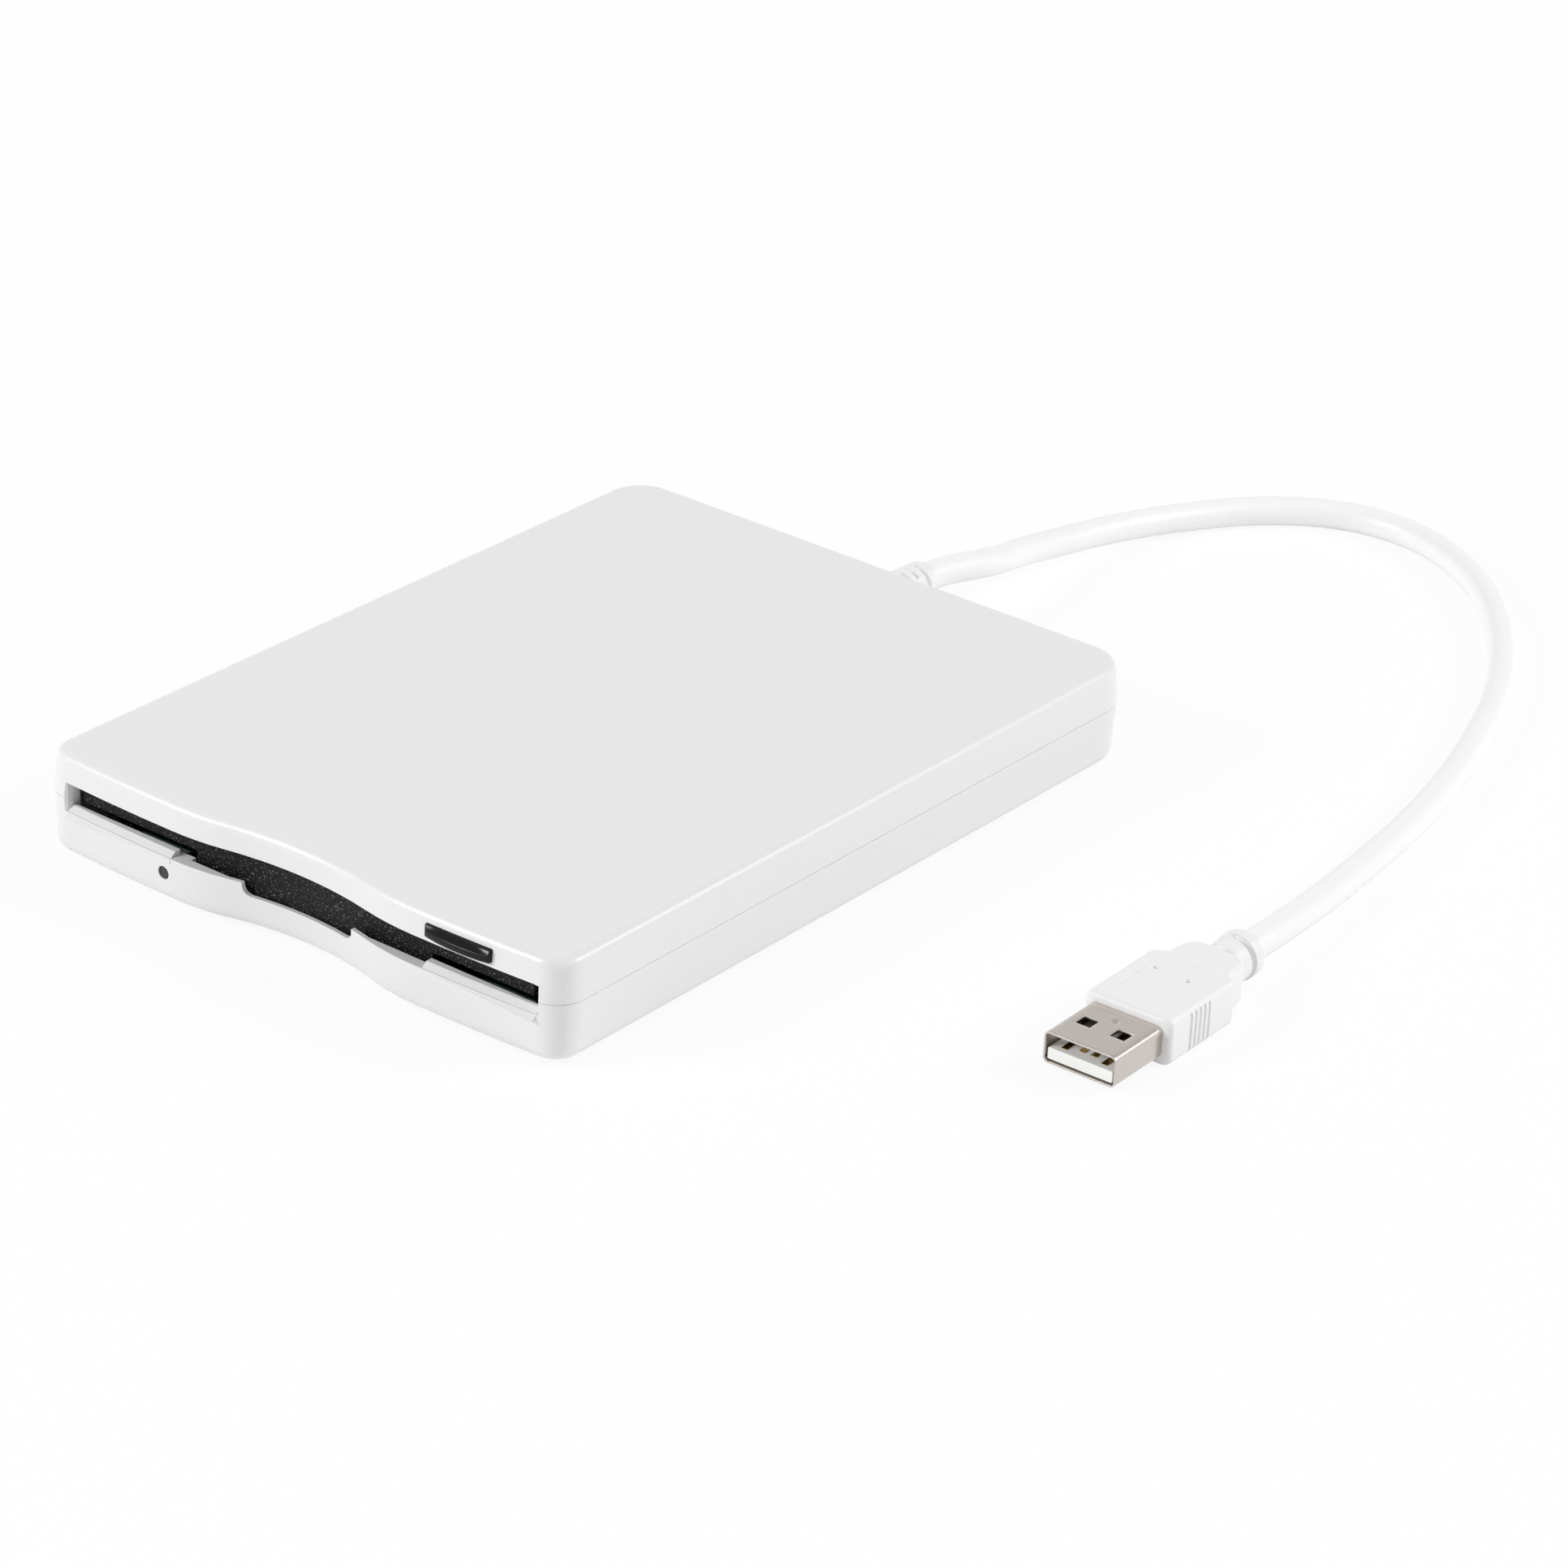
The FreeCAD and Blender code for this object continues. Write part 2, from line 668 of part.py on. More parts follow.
def chassis_frame():
    left = -window_half_width - 2.0
    floor = plate([(-chassis_outer, chassis_front), (chassis_outer, chassis_front),
                   (chassis_outer, chassis_side_rear), (motor_plate_right, chassis_side_rear + 4.0),
                   (motor_plate_right, motor_plate_rear), (motor_plate_left, motor_plate_rear),
                   (motor_plate_left, chassis_rear), (left, chassis_rear), (left, chassis_left_rear),
                   (-chassis_outer, chassis_left_rear)], chassis_bottom, chassis_top)
    floor = floor.cut(block(-window_half_width, window_half_width, window_front, window_rear, 0, 20))
    floor = floor.cut(upright(0, spindle_depth, bearing_radius, 0, 20))
    wall = block(chassis_inner, chassis_outer, chassis_wall_front, chassis_wall_rear,
                 chassis_bottom, chassis_wall_top)
    for depth in (front_pin_depth, rear_pin_depth):
        half = pin_radius + pin_slot_gap
        low = pin_height - disk_drop
        wall = wall.cut(block(chassis_inner - 1, chassis_outer + 1, depth - half, depth + half, low, 20))
        wall = wall.cut(rod(half, at(chassis_inner - 1, depth, low), at(chassis_outer + 1, depth, low)))
    wall = wall.cut(block(chassis_inner - 1, chassis_outer + 1, front_pin_depth + 8,
                          rear_pin_depth - 8, 6.5, 20))
    frame = floor.fuse(both_sides(wall))
    for x in (-rod_half_spacing, rod_half_spacing):
        for depth in (rod_front, rod_rear - tab_thickness):
            tab = block(x - 2.6, x + 2.6, depth, depth + tab_thickness, chassis_bottom, carriage_top)
            frame = frame.fuse(tab)
        frame = frame.cut(rod(rod_radius, at(x, rod_front, rod_height), at(x, rod_rear, rod_height)))
    for x, depth in chassis_posts:
        frame = frame.cut(upright(x, depth, 1.1, 0, 20))
    return frame


def chassis_screws():
    screws = []
    for x, depth in chassis_posts:
        head = upright(x, depth, 1.9, chassis_top, chassis_top + 0.9)
        shank = upright(x, depth, post_screw_radius, floor_wall / 2 + 0.2, chassis_top)
        slot = block(x - 1.9, x + 1.9, depth - 0.3, depth + 0.3, chassis_top + 0.5, chassis_top + 1)
        screws.append(head.fuse(shank).cut(slot))
    return screws


def guide_rods():
    rods = []
    for x in (-rod_half_spacing, rod_half_spacing):
        rods.append(rod(rod_radius, at(x, rod_front, rod_height), at(x, rod_rear, rod_height)))
    return rods


flange_front = slide_front - 7.2
flange_rear = slide_front - 2.0
peg_slot_front = flange_front + 1.2
peg_slot_rear = flange_rear - 1.0


# Eject slide: a folded plate that the button pushes back, with sloping slots that lift the holder
def eject_slide_plate():
    bar = block(slide_outer - slide_bar_width, slide_outer, slide_front, slide_rear,
                slide_bottom, slide_bottom + slide_sheet)
    wall = block(slide_inner, slide_outer, slide_front, slide_rear, slide_bottom, slide_top)
    wall = wall.cut(block(slide_inner - 1, slide_outer + 1, front_pin_depth + 9, rear_pin_depth - 6,
                          6.0, 20))
    for depth in (front_pin_depth, rear_pin_depth):
        half = pin_radius + pin_slot_gap
        slope = math.atan2(-disk_drop, eject_travel)
        length = math.hypot(disk_drop, eject_travel)
        slot = Part.makeBox(3.0, length, 2 * half, at(slide_inner - 1, depth, pin_height - half))
        slot.rotate(at(0, depth, pin_height), Vector(1, 0, 0), math.degrees(slope))
        start = rod(half, at(slide_inner - 1, depth, pin_height), at(slide_outer + 1, depth, pin_height))
        low = at(slide_inner - 1, depth + eject_travel, pin_height - disk_drop)
        end = rod(half, low, low + Vector(3, 0, 0))
        wall = wall.cut(slot).cut(start).cut(end)
    side = bar.fuse(wall)
    cross = block(-slide_outer, slide_outer, spindle_depth - 27.0, spindle_depth - 21.0,
                  slide_bottom, slide_bottom + slide_sheet)
    arm = block(slide_inner, slide_outer, flange_front + 0.2, slide_front + 5.0, slide_top - 3.5, flange_top)
    flange = block(button_left + 1, slide_outer, flange_front, flange_rear, flange_bottom, flange_top)
    flange = flange.cut(block(button_left + 6, slide_inner - 3, peg_slot_front, peg_slot_rear, 0, 20))
    return both_sides(side).fuse(cross).fuse(arm).fuse(flange)


# Eject button: its front bows out of the case in a shallow arc
def eject_button():
    left = button_left + button_gap
    right = button_right - button_gap
    middle = (left + right) / 2
    edge_depth = 0.55
    low = at(0, 0, button_bottom + button_gap).z
    high = button_top - button_bottom - 2 * button_gap

    def point(x, depth):
        return Vector(x, at(0, depth, 0).y, low)

    bow = Part.Arc(point(left, edge_depth), point(middle, edge_depth - button_bulge),
                   point(right, edge_depth))
    back = flange_front - 0.2
    edges = [bow.toShape(), Part.makeLine(point(right, edge_depth), point(right, back)),
             Part.makeLine(point(right, back), point(left, back)),
             Part.makeLine(point(left, back), point(left, edge_depth))]
    body = Part.Face(Part.Wire(edges)).extrude(Vector(0, 0, high))
    rim = [edge for edge in body.Edges
           if edge.BoundBox.ZLength < 0.01 and edge.CenterOfMass.y < at(0, edge_depth, 0).y]
    body = body.makeFillet(0.35, rim)
    tail = block(left + 1.5, right - 1.5, back - 1.6, peg_slot_rear - 0.5,
                 flange_top, button_top - button_gap)
    peg = block(button_left + 6.2, right - 1.5, peg_slot_front + 0.1, peg_slot_rear - 0.6,
                flange_bottom + 0.1, flange_top + 0.2)
    return body.fuse(tail).fuse(peg)


# Disk holder: a folded channel that takes the disk and sinks with it onto the spindle
lever_pivot_x = 15.8 - holder_outer
lever_pivot_depth = holder_rear - 6.0
lever_reach = -lever_pivot_x - 8.0
lever_pin_radius = 1.0
lever_sweep = 50.0
lever_start_angle = -50.0


def lever_ring_cut():
    outer = upright(lever_pivot_x, lever_pivot_depth, lever_reach + lever_pin_radius + 0.4, 0, 20)
    inner = upright(lever_pivot_x, lever_pivot_depth, lever_reach - lever_pin_radius - 0.4, 0, 20)
    ring = outer.cut(inner)
    spread = 3.2
    first = math.radians(lever_start_angle - spread)
    last = math.radians(lever_start_angle + lever_sweep + spread)
    far = lever_reach * 3
    middle = (first + last) / 2
    wedge = plate([(lever_pivot_x, lever_pivot_depth)] +
                  [(lever_pivot_x + far * math.cos(angle), lever_pivot_depth + far * math.sin(angle))
                   for angle in (first, middle, last)], holder_roof - 1, holder_top + 1)
    return ring.common(wedge)


def disk_holder():
    roof = block(-holder_outer, holder_outer, holder_front, holder_rear, holder_roof, holder_top)
    side = block(holder_inner, holder_outer, holder_front, holder_rear,
                 holder_lip_top - holder_sheet, holder_top)
    lip = block(holder_outer - holder_lip, holder_outer, holder_front, holder_rear,
                holder_lip_top - holder_sheet, holder_lip_top)
    holder = roof.fuse(both_sides(side.fuse(lip)))
    holder = holder.cut(block(-6.0, 6.0, rod_front, holder_rear + 1, holder_roof - 1, holder_top + 1))
    holder = holder.cut(lever_ring_cut())
    holder = holder.cut(upright(0, spindle_depth, 9.0, holder_roof - 1, holder_top + 1))
    window = block(holder_outer - 25.8, holder_outer - 9.8, front_pin_depth - 2, spindle_depth - 6,
                   holder_roof - 1, holder_top + 1)
    holder = holder.cut(both_sides(window))
    holder = holder.cut(block(16.0, holder_outer - 9.8, spindle_depth + 6, holder_rear - 10,
                              holder_roof - 1, holder_top + 1))
    rivet = upright(lever_pivot_x, lever_pivot_depth, 1.5, holder_top - 0.2, holder_top + 1.1)
    cap = upright(lever_pivot_x, lever_pivot_depth, 2.4, holder_top + 0.85, holder_top + 1.1)
    return holder.fuse(rivet).fuse(cap)


def holder_pins():
    pins = []
    for depth in (front_pin_depth, rear_pin_depth):
        pin = rod(pin_radius, at(holder_outer, depth, pin_height), at(chassis_outer, depth, pin_height))
        pins.append(pin)
        pins.append(mirrored(pin))
    return pins


def shutter_lever():
    turn = math.radians(lever_start_angle)
    low = holder_top + 0.1
    high = low + 0.6
    end_x = lever_pivot_x + lever_reach * math.cos(turn)
    end_depth = lever_pivot_depth + lever_reach * math.sin(turn)
    bar = Part.makeBox(lever_reach, 4.0, high - low, at(lever_pivot_x, lever_pivot_depth - 2.0, low))
    bar.rotate(at(lever_pivot_x, lever_pivot_depth, 0), Vector(0, 0, 1), lever_start_angle)
    lever = bar.fuse(upright(lever_pivot_x, lever_pivot_depth, 3.2, low, high))
    lever = lever.fuse(upright(end_x, end_depth, 2.0, low, high))
    lever = lever.cut(upright(lever_pivot_x, lever_pivot_depth, 1.55, 0, 20))
    pin = upright(end_x, end_depth, lever_pin_radius, disk_high_height + 0.6, high)
    return lever.fuse(pin)


# Spindle motor, flat under the disk
motor_board_left = 10.0 - chassis_inner
motor_board_rear = rod_front - 1.0


def motor_board():
    left = motor_board_left
    right = chassis_inner - 17.0
    board = plate([(left, spindle_depth - 6), (-right, spindle_depth - 18), (right, spindle_depth - 18),
                   (right, motor_board_rear), (left, motor_board_rear)], board_bottom, board_top)
    return board.cut(upright(0, spindle_depth, bearing_radius, 0, 20))


def spindle_bearing():
    sleeve = tube(0, spindle_depth, bearing_radius, shaft_radius + rod_gap, chassis_bottom, board_top + 0.9)
    return sleeve


pole_count = 9
coil_inner = 6.2
coil_outer = 9.6


def stator_core():
    low = board_top + 0.35
    high = low + 0.6
    core = tube(0, spindle_depth, 5.6, bearing_radius, board_top, high)
    ring = tube(0, spindle_depth, 11.2, 10.1, low, high)
    teeth = core
    for index in range(pole_count):
        angle = 360.0 / pole_count * index
        tooth = Part.makeBox(5.4, 1.4, high - low, at(5.2, spindle_depth - 0.7, low))
        tooth.rotate(at(0, spindle_depth, 0), Vector(0, 0, 1), angle)
        teeth = teeth.fuse(tooth)
    step = 360.0 / pole_count
    for index in range(pole_count):
        gap = Part.makeBox(3.0, 1.0, 2.0, at(9.5, spindle_depth - 0.5, low - 0.5))
        gap.rotate(at(0, spindle_depth, 0), Vector(0, 0, 1), step * (index + 0.5))
        ring = ring.cut(gap)
    return teeth.fuse(ring)


def stator_coils():
    low = board_top + 0.1
    high = board_top + 1.2
    coils = []
    for index in range(pole_count):
        coil = block(coil_inner, coil_outer, spindle_depth - 1.5, spindle_depth + 1.5, low, high)
        hole = block(coil_inner - 1, coil_outer + 1, spindle_depth - 0.7, spindle_depth + 0.7,
                     board_top + 0.35, board_top + 0.95)
        coil = coil.cut(hole)
        coil.rotate(at(0, spindle_depth, 0), Vector(0, 0, 1), 360.0 / pole_count * index)
        coils.append(coil)
    return coils


rotor_rim_bottom = board_top + 0.3
rotor_roof_bottom = board_top + 1.4
rotor_top = rotor_roof_bottom + rotor_sheet


def rotor_cup():
    roof = upright(0, spindle_depth, rotor_radius, rotor_roof_bottom, rotor_top)
    rim = tube(0, spindle_depth, rotor_radius, rotor_radius - rotor_sheet, rotor_rim_bottom, rotor_top)
    cup = roof.fuse(rim)
    return cup.cut(upright(0, spindle_depth, shaft_radius, 0, 20))


def rotor_magnet():
    return tube(0, spindle_depth, rotor_radius - rotor_sheet, 11.7, rotor_rim_bottom, rotor_roof_bottom)


def hub_plate():
    disc = upright(0, spindle_depth, 11.5, rotor_top, rotor_top + 0.4)
    return disc.cut(upright(0, spindle_depth, shaft_radius, 0, 20))


def spindle_shaft():
    shaft = upright(0, spindle_depth, shaft_radius, chassis_bottom + 0.2, shaft_top)
    tip = [edge for edge in shaft.Edges if edge.CenterOfMass.z > foot_height + shaft_top - 0.01]
    return shaft.makeChamfer(0.4, tip)


def drive_pin():
    return upright(8.0, spindle_depth, 0.8, rotor_top + 0.4, shaft_top - 0.4)


# Head carriage on two rods, moved by the lead screw
def head_carriage():
    front = head_depth - 6.0
    rear = arm_pivot_depth + 3.0
    base = block(-carriage_half_width, carriage_half_width, front, rear, carriage_bottom, carriage_top)
    base = base.cut(block(-8.5, 8.5, head_depth + 8, arm_pivot_depth - 5, carriage_bottom - 1, 20))
    base = base.cut(block(9.5, 17.0, front + 10, rear - 10, carriage_bottom - 1, 20))
    base = base.cut(block(-17.0, -9.5, front + 10, rear - 10, carriage_bottom - 1, 20))
    tower = block(-6.6, 6.6, arm_pivot_depth - 2, rear, carriage_top - 0.5, arm_pivot_height + 1.2)
    tower = tower.cut(block(-5.0, 5.0, arm_pivot_depth - 3, rear + 1, arm_pivot_height - 2.2, 20))
    finger_bottom = screw_height + screw_radius + running_gap
    finger = block(6.0, screw_x + 1.5, arm_pivot_depth - 1.0, arm_pivot_depth + 2.0,
                   finger_bottom, finger_bottom + 1.2)
    carriage = base.fuse(tower).fuse(finger)
    for x in (-rod_half_spacing, rod_half_spacing):
        bore = rod_radius + rod_gap
        carriage = carriage.cut(rod(bore, at(x, front - 1, rod_height), at(x, rear + 1, rod_height)))
    return carriage.cut(rod(0.75, at(-7, arm_pivot_depth, arm_pivot_height),
                            at(7, arm_pivot_depth, arm_pivot_height)))


def arm_pin():
    return rod(0.75, at(-6.6, arm_pivot_depth, arm_pivot_height), at(6.6, arm_pivot_depth, arm_pivot_height))


def screw_follower():
    return upright(screw_x, arm_pivot_depth + 0.5, 0.6, screw_height + screw_radius + 0.05,
                   screw_height + screw_radius + running_gap)


def lower_head():
    half = head_size / 2
    pad = block(-half, half, head_depth - half, head_depth + half, carriage_top, 7.0)
    tip = block(-1.5, 1.5, head_depth - 2, head_depth + 2, 7.0, 7.55)
    return pad.fuse(tip)


def head_arm():
    low = arm_pivot_height + 0.4
    high = low + arm_sheet
    plate_part = plate([(-arm_half_width, arm_pivot_depth), (-3.2, head_depth - 3), (3.2, head_depth - 3),
                        (arm_half_width, arm_pivot_depth)], low, high)
    plate_part = plate_part.cut(block(-1.6, 1.6, head_depth + 8, arm_pivot_depth - 7, 0, 20))
    hub = rod(1.5, at(-arm_half_width, arm_pivot_depth, arm_pivot_height),
              at(arm_half_width, arm_pivot_depth, arm_pivot_height))
    arm = plate_part.fuse(hub)
    return arm.cut(rod(0.8, at(-6, arm_pivot_depth, arm_pivot_height),
                       at(6, arm_pivot_depth, arm_pivot_height)))


def upper_head():
    half = head_size / 2
    low = disk_high_height + disk_thickness + 0.6
    return block(-half, half, head_depth - half, head_depth + half, low, arm_pivot_height + 0.4)


def stepper_motor():
    can = rod(motor_radius, at(screw_x, motor_front, screw_height),
              at(screw_x, motor_front + motor_length, screw_height))
    foot = block(screw_x - 4, screw_x + 4, motor_front + 1, motor_front + motor_length - 1,
                 chassis_top, screw_height)
    return can.fuse(foot).cut(rod(screw_radius + 0.05, at(screw_x, motor_front - 1, screw_height),
                                  at(screw_x, motor_front + 2.5, screw_height)))


screw_front = arm_pivot_depth - 16.9


def lead_screw():
    shaft = rod(screw_radius - 0.25, at(screw_x, screw_front, screw_height),
                at(screw_x, motor_front + 2.4, screw_height))
    thread = rod(screw_radius, at(screw_x, screw_front + 1.5, screw_height),
                 at(screw_x, motor_front - 1.0, screw_height))
    return shaft.fuse(thread)


def screw_bracket():
    post = block(screw_x - 3, screw_x + 3, screw_front, screw_front + 1.2,
                 chassis_top, screw_height + screw_radius)
    foot = block(screw_x - 3, screw_x + 3, screw_front, screw_front + 6.0, chassis_top, chassis_top + 0.8)
    bracket = post.fuse(foot)
    return bracket.cut(rod(screw_radius - 0.2, at(screw_x, screw_front - 1, screw_height),
                           at(screw_x, screw_front + 2, screw_height)))


def control_board():
    low = board_stand_height
    board = plate([(control_board_left, control_board_front), (control_board_split, control_board_front),
                   (control_board_split, control_board_step), (control_board_right, control_board_step),
                   (control_board_right, control_board_rear), (control_board_left, control_board_rear)],
                  low, low + 1.0)
    return board


def board_chips():
    low = board_stand_height + 1.0
    main_x = (control_board_left + control_board_split) / 2 - 0.5
    edge_x = control_board_left + 3.0
    sizes = ((main_x, control_board_front + 11.0, 10.0, 10.0, 1.2),
             (control_board_split + 6.0, control_board_rear - 3.2, 5.0, 5.0, 0.9),
             (main_x, control_board_front + 22.0, 7.0, 4.0, 1.0),
             (control_board_split - 5.0, control_board_rear - 3.4, 4.5, 2.0, 1.4),
             (control_board_right - 7.0, control_board_rear - 3.2, 3.2, 1.6, 1.0),
             (edge_x, control_board_rear - 2.4, 2.0, 1.2, 0.8),
             (edge_x, control_board_front + 18.0, 1.2, 2.0, 0.8))
    chips = []
    for x, depth, width, length, height in sizes:
        chips.append(block(x - width / 2, x + width / 2, depth - length / 2, depth + length / 2,
                           low, low + height))
    return chips


socket_rear = control_board_rear - 1.4


def cable_socket():
    low = board_stand_height + 1.0
    front = socket_rear - 3.8
    socket = block(-4.5, 4.5, front, socket_rear, low, low + 4.2)
    return socket.cut(block(-3.8, 3.8, front + 0.8, socket_rear + 1, low + 0.8, low + 3.4))


def flat_cable():
    sheet = 0.2
    low = chassis_top + 0.02
    high = board_stand_height + 1.02
    left = motor_board_left
    right = left + 6.0
    bend = control_board_front - 4.0
    crest = control_board_front - 0.5
    end = control_board_front + 3.0
    run = block(left, right, motor_board_rear, bend, low, low + sheet)
    rise = side_profile([(bend - sheet, low), (bend, low), (crest, high), (end, high), (end, high + sheet),
                         (crest - sheet, high + sheet), (bend - sheet, low + sheet)], left, right)
    return run.fuse(rise)


# Strain relief boot, moulded round the cable and held in the seam at the back
def cable_boot():
    rear = case_depth
    end = rear + boot_length

    def along(d0, d1, r0, r1):
        start = at(boot_x, d0, seam_height)
        if r0 == r1:
            return Part.makeCylinder(r0, d1 - d0, start, Vector(0, 1, 0))
        return Part.makeCone(r0, r1, d1 - d0, start, Vector(0, 1, 0))

    boot = along(rear - side_wall - 0.5, rear, boot_neck_radius, boot_neck_radius)
    boot = boot.fuse(along(rear - side_wall - 2.2, rear - side_wall - 0.5, 4.0, 4.0))
    boot = boot.fuse(along(rear, end, boot_radius, boot_radius - 0.2))
    for index in range(4):
        d0 = rear + 2.6 + index * 2.3
        ring = along(d0, d0 + boot_ring_width, boot_radius + 1, boot_radius + 1)
        ring = ring.cut(along(d0, d0 + boot_ring_width, cable_radius + 0.1, cable_radius + 0.1))
        bridge_height = -6.0 if index % 2 else 0.8
        bridge = Part.makeBox(12.0, 3.0, 5.2, at(boot_x - 6, d0 - 1, seam_height + bridge_height))
        boot = boot.cut(ring.cut(bridge))
    return boot


def signal_wires():
    wires = []
    for x in (-2.4, -0.8, 0.8, 2.4):
        wires.append(rod(0.5, at(x, socket_rear - 2.6, 7.4), at(x, case_depth - side_wall - 2.2, 7.4)))
    return wires


# Cable: straight runs joined by tangent arcs, swept with a round section
def usb_cable():
    points = [Vector(*point) for point in cable_route]
    edges = []
    radii = []
    start = points[0]
    for before, corner, after in zip(points, points[1:], points[2:]):
        run_in = corner - before
        run_out = after - corner
        turn = run_in.getAngle(run_out)
        shorter = min(run_in.Length, run_out.Length)
        tangent = 0.45 * shorter
        radii.append(tangent / math.tan(turn / 2))
        come = Vector(run_in).normalize()
        leave = Vector(run_out).normalize()
        first = corner - come * tangent
        last = corner + leave * tangent
        inward = (leave - come).normalize()
        middle = corner + inward * (radii[-1] * (1 / math.cos(turn / 2) - 1))
        edges.append(Part.LineSegment(start, first).toShape())
        edges.append(Part.Arc(first, middle, last).toShape())
        start = last
    edges.append(Part.LineSegment(start, points[-1]).toShape())
    path = Part.Wire(edges)
    section = Part.Wire([Part.makeCircle(cable_radius, points[0], points[1] - points[0])])
    cable = path.makePipeShell([section], True, False)
    print("cable radii", [round(radius, 1) for radius in radii])
    print("cable length", round(path.Length, 1), "volume", round(cable.Volume, 1),
          "section by length", round(math.pi * cable_radius ** 2 * path.Length, 1))
    return cable


# Plug: its own axis runs from the cable's end to the tip, turned a little about the upright
plug_start = Vector(*cable_route[-1])
plug_run = plug_start - Vector(*cable_route[-2])
plug_yaw = math.degrees(math.atan2(plug_run.x, -plug_run.y))
plug_tip = plug_neck_length + plug_body_length + plug_shell_length


def plug_block(x0, x1, s0, s1, z0, z1):
    corner = plug_start + Vector(x0, -s1, z0)
    return Part.makeBox(x1 - x0, s1 - s0, z1 - z0, corner)


def plug_place(shape):
    shape.rotate(plug_start, Vector(0, 0, 1), plug_yaw)
    return shape


def bevelled_section(width, height, bevel, s):
    middle = plug_start + Vector(0, -s, 0)
    half_w = width / 2
    half_h = height / 2
    points = [(half_w, bevel - half_h), (half_w, half_h - bevel), (half_w - bevel, half_h),
              (bevel - half_w, half_h), (-half_w, half_h - bevel), (-half_w, bevel - half_h),
              (bevel - half_w, -half_h), (half_w - bevel, -half_h)]
    corners = [middle + Vector(x, 0, z) for x, z in points]
    return Part.makePolygon(corners + corners[:1])


relief_length = 8.5
relief_radius = 3.6
groove_count = 5


def plug_grip():
    half = plug_thickness / 2
    body = plug_block(-plug_width / 2, plug_width / 2, plug_neck_length, plug_neck_length + plug_body_length,
                      -half, half)
    uprights = [edge for edge in body.Edges if edge.BoundBox.ZLength > 1]
    body = body.makeFillet(1.6, uprights)
    rims = [edge for edge in body.Edges if edge.BoundBox.ZLength < 0.01]
    body = body.makeFillet(1.1, rims)
    neck = Part.makeLoft([bevelled_section(8.4, 7.2, 1.8, relief_length),
                          bevelled_section(12.0, 7.4, 1.4, plug_neck_length + 1.2)], True, True)
    relief = Part.makeCylinder(relief_radius, relief_length, plug_start, Vector(0, -1, 0))
    grip = body.fuse(neck).fuse(relief)
    core = Part.makeCylinder(cable_radius + 0.1, 10, plug_start + Vector(0, 1, 0), Vector(0, -1, 0))
    for index, s in enumerate((2.0, 3.9, 5.8)):
        ring = plug_block(-6, 6, s, s + 0.7, -6, 6).cut(core)
        side = 1 if index % 2 else -1
        ring = ring.common(plug_block(min(0, side * 6), max(0, side * 6), 0, 9, -6, 6))
        grip = grip.cut(ring)
        twin = plug_block(-6, 6, s, s + 0.7, -6, 6).cut(core)
        twin = twin.common(plug_block(min(0, -side * 6), max(0, -side * 6), 0, 9, -2.0, 2.0))
        grip = grip.cut(twin)
    panel = plug_block(-4.85, 4.85, 17.9, 31.2, half - 0.25, half + 1)
    corners = [edge for edge in panel.Edges if edge.BoundBox.ZLength > 1]
    grip = grip.cut(panel.makeFillet(1.2, corners))
    for index in range(groove_count):
        s = 21.6 + index * 1.25
        for side in (-1, 1):
            groove = plug_block(-0.45, 0.45, s, s + 0.6, -3.0, 3.0)
            groove.translate(Vector(side * plug_width / 2, 0, 0))
            grip = grip.cut(groove)
    grip = grip.cut(plug_block(-plug_shell_width / 2, plug_shell_width / 2, 30.0, 40.0,
                               -plug_shell_height / 2, plug_shell_height / 2))
    return plug_place(grip)


def plug_shell():
    half_w = plug_shell_width / 2
    half_h = plug_shell_height / 2
    wall = plug_shell_wall
    outer = plug_block(-half_w, half_w, 30.0, plug_tip, -half_h, half_h)
    inner = plug_block(wall - half_w, half_w - wall, 29.0, plug_tip + 1, wall - half_h, half_h - wall)
    shell = outer.cut(inner)
    for x in (-3.05, 3.05):
        window = plug_block(x - 1.05, x + 1.05, plug_tip - 7.2, plug_tip - 4.8, -6, 6)
        shell = shell.cut(window)
    shell = shell.cut(Part.makeCylinder(0.75, 1, plug_start + Vector(0, 8.8 - plug_tip, half_h - 0.15)))
    return plug_place(shell)


def plug_tongue():
    half_h = plug_shell_height / 2 - plug_shell_wall
    half_w = plug_shell_width / 2 - plug_shell_wall
    tongue = plug_block(-half_w, half_w, 30.2, plug_tip - 0.8, -half_h, -0.1)
    root = plug_block(-half_w, half_w, 30.2, 33.5, -half_h, half_h)
    return plug_place(tongue.fuse(root))


def plug_contacts():
    contacts = []
    for x, start in ((-3.5, 1.2), (-1.0, 2.2), (1.0, 2.2), (3.5, 1.2)):
        contacts.append(plug_place(plug_block(x - 0.5, x + 0.5, 33.5, plug_tip - start, -0.1, 0.08)))
    return contacts


def eject_springs():
    springs = []
    front = spindle_depth - 18.0
    rear = spindle_depth - 6.0
    for x in (2.7 - slide_inner, slide_inner - 2.7):
        outer = rod(0.75, at(x, front, 4.45), at(x, rear, 4.45))
        springs.append(outer.cut(rod(0.45, at(x, front - 1, 4.45), at(x, rear + 1, 4.45))))
    return springs


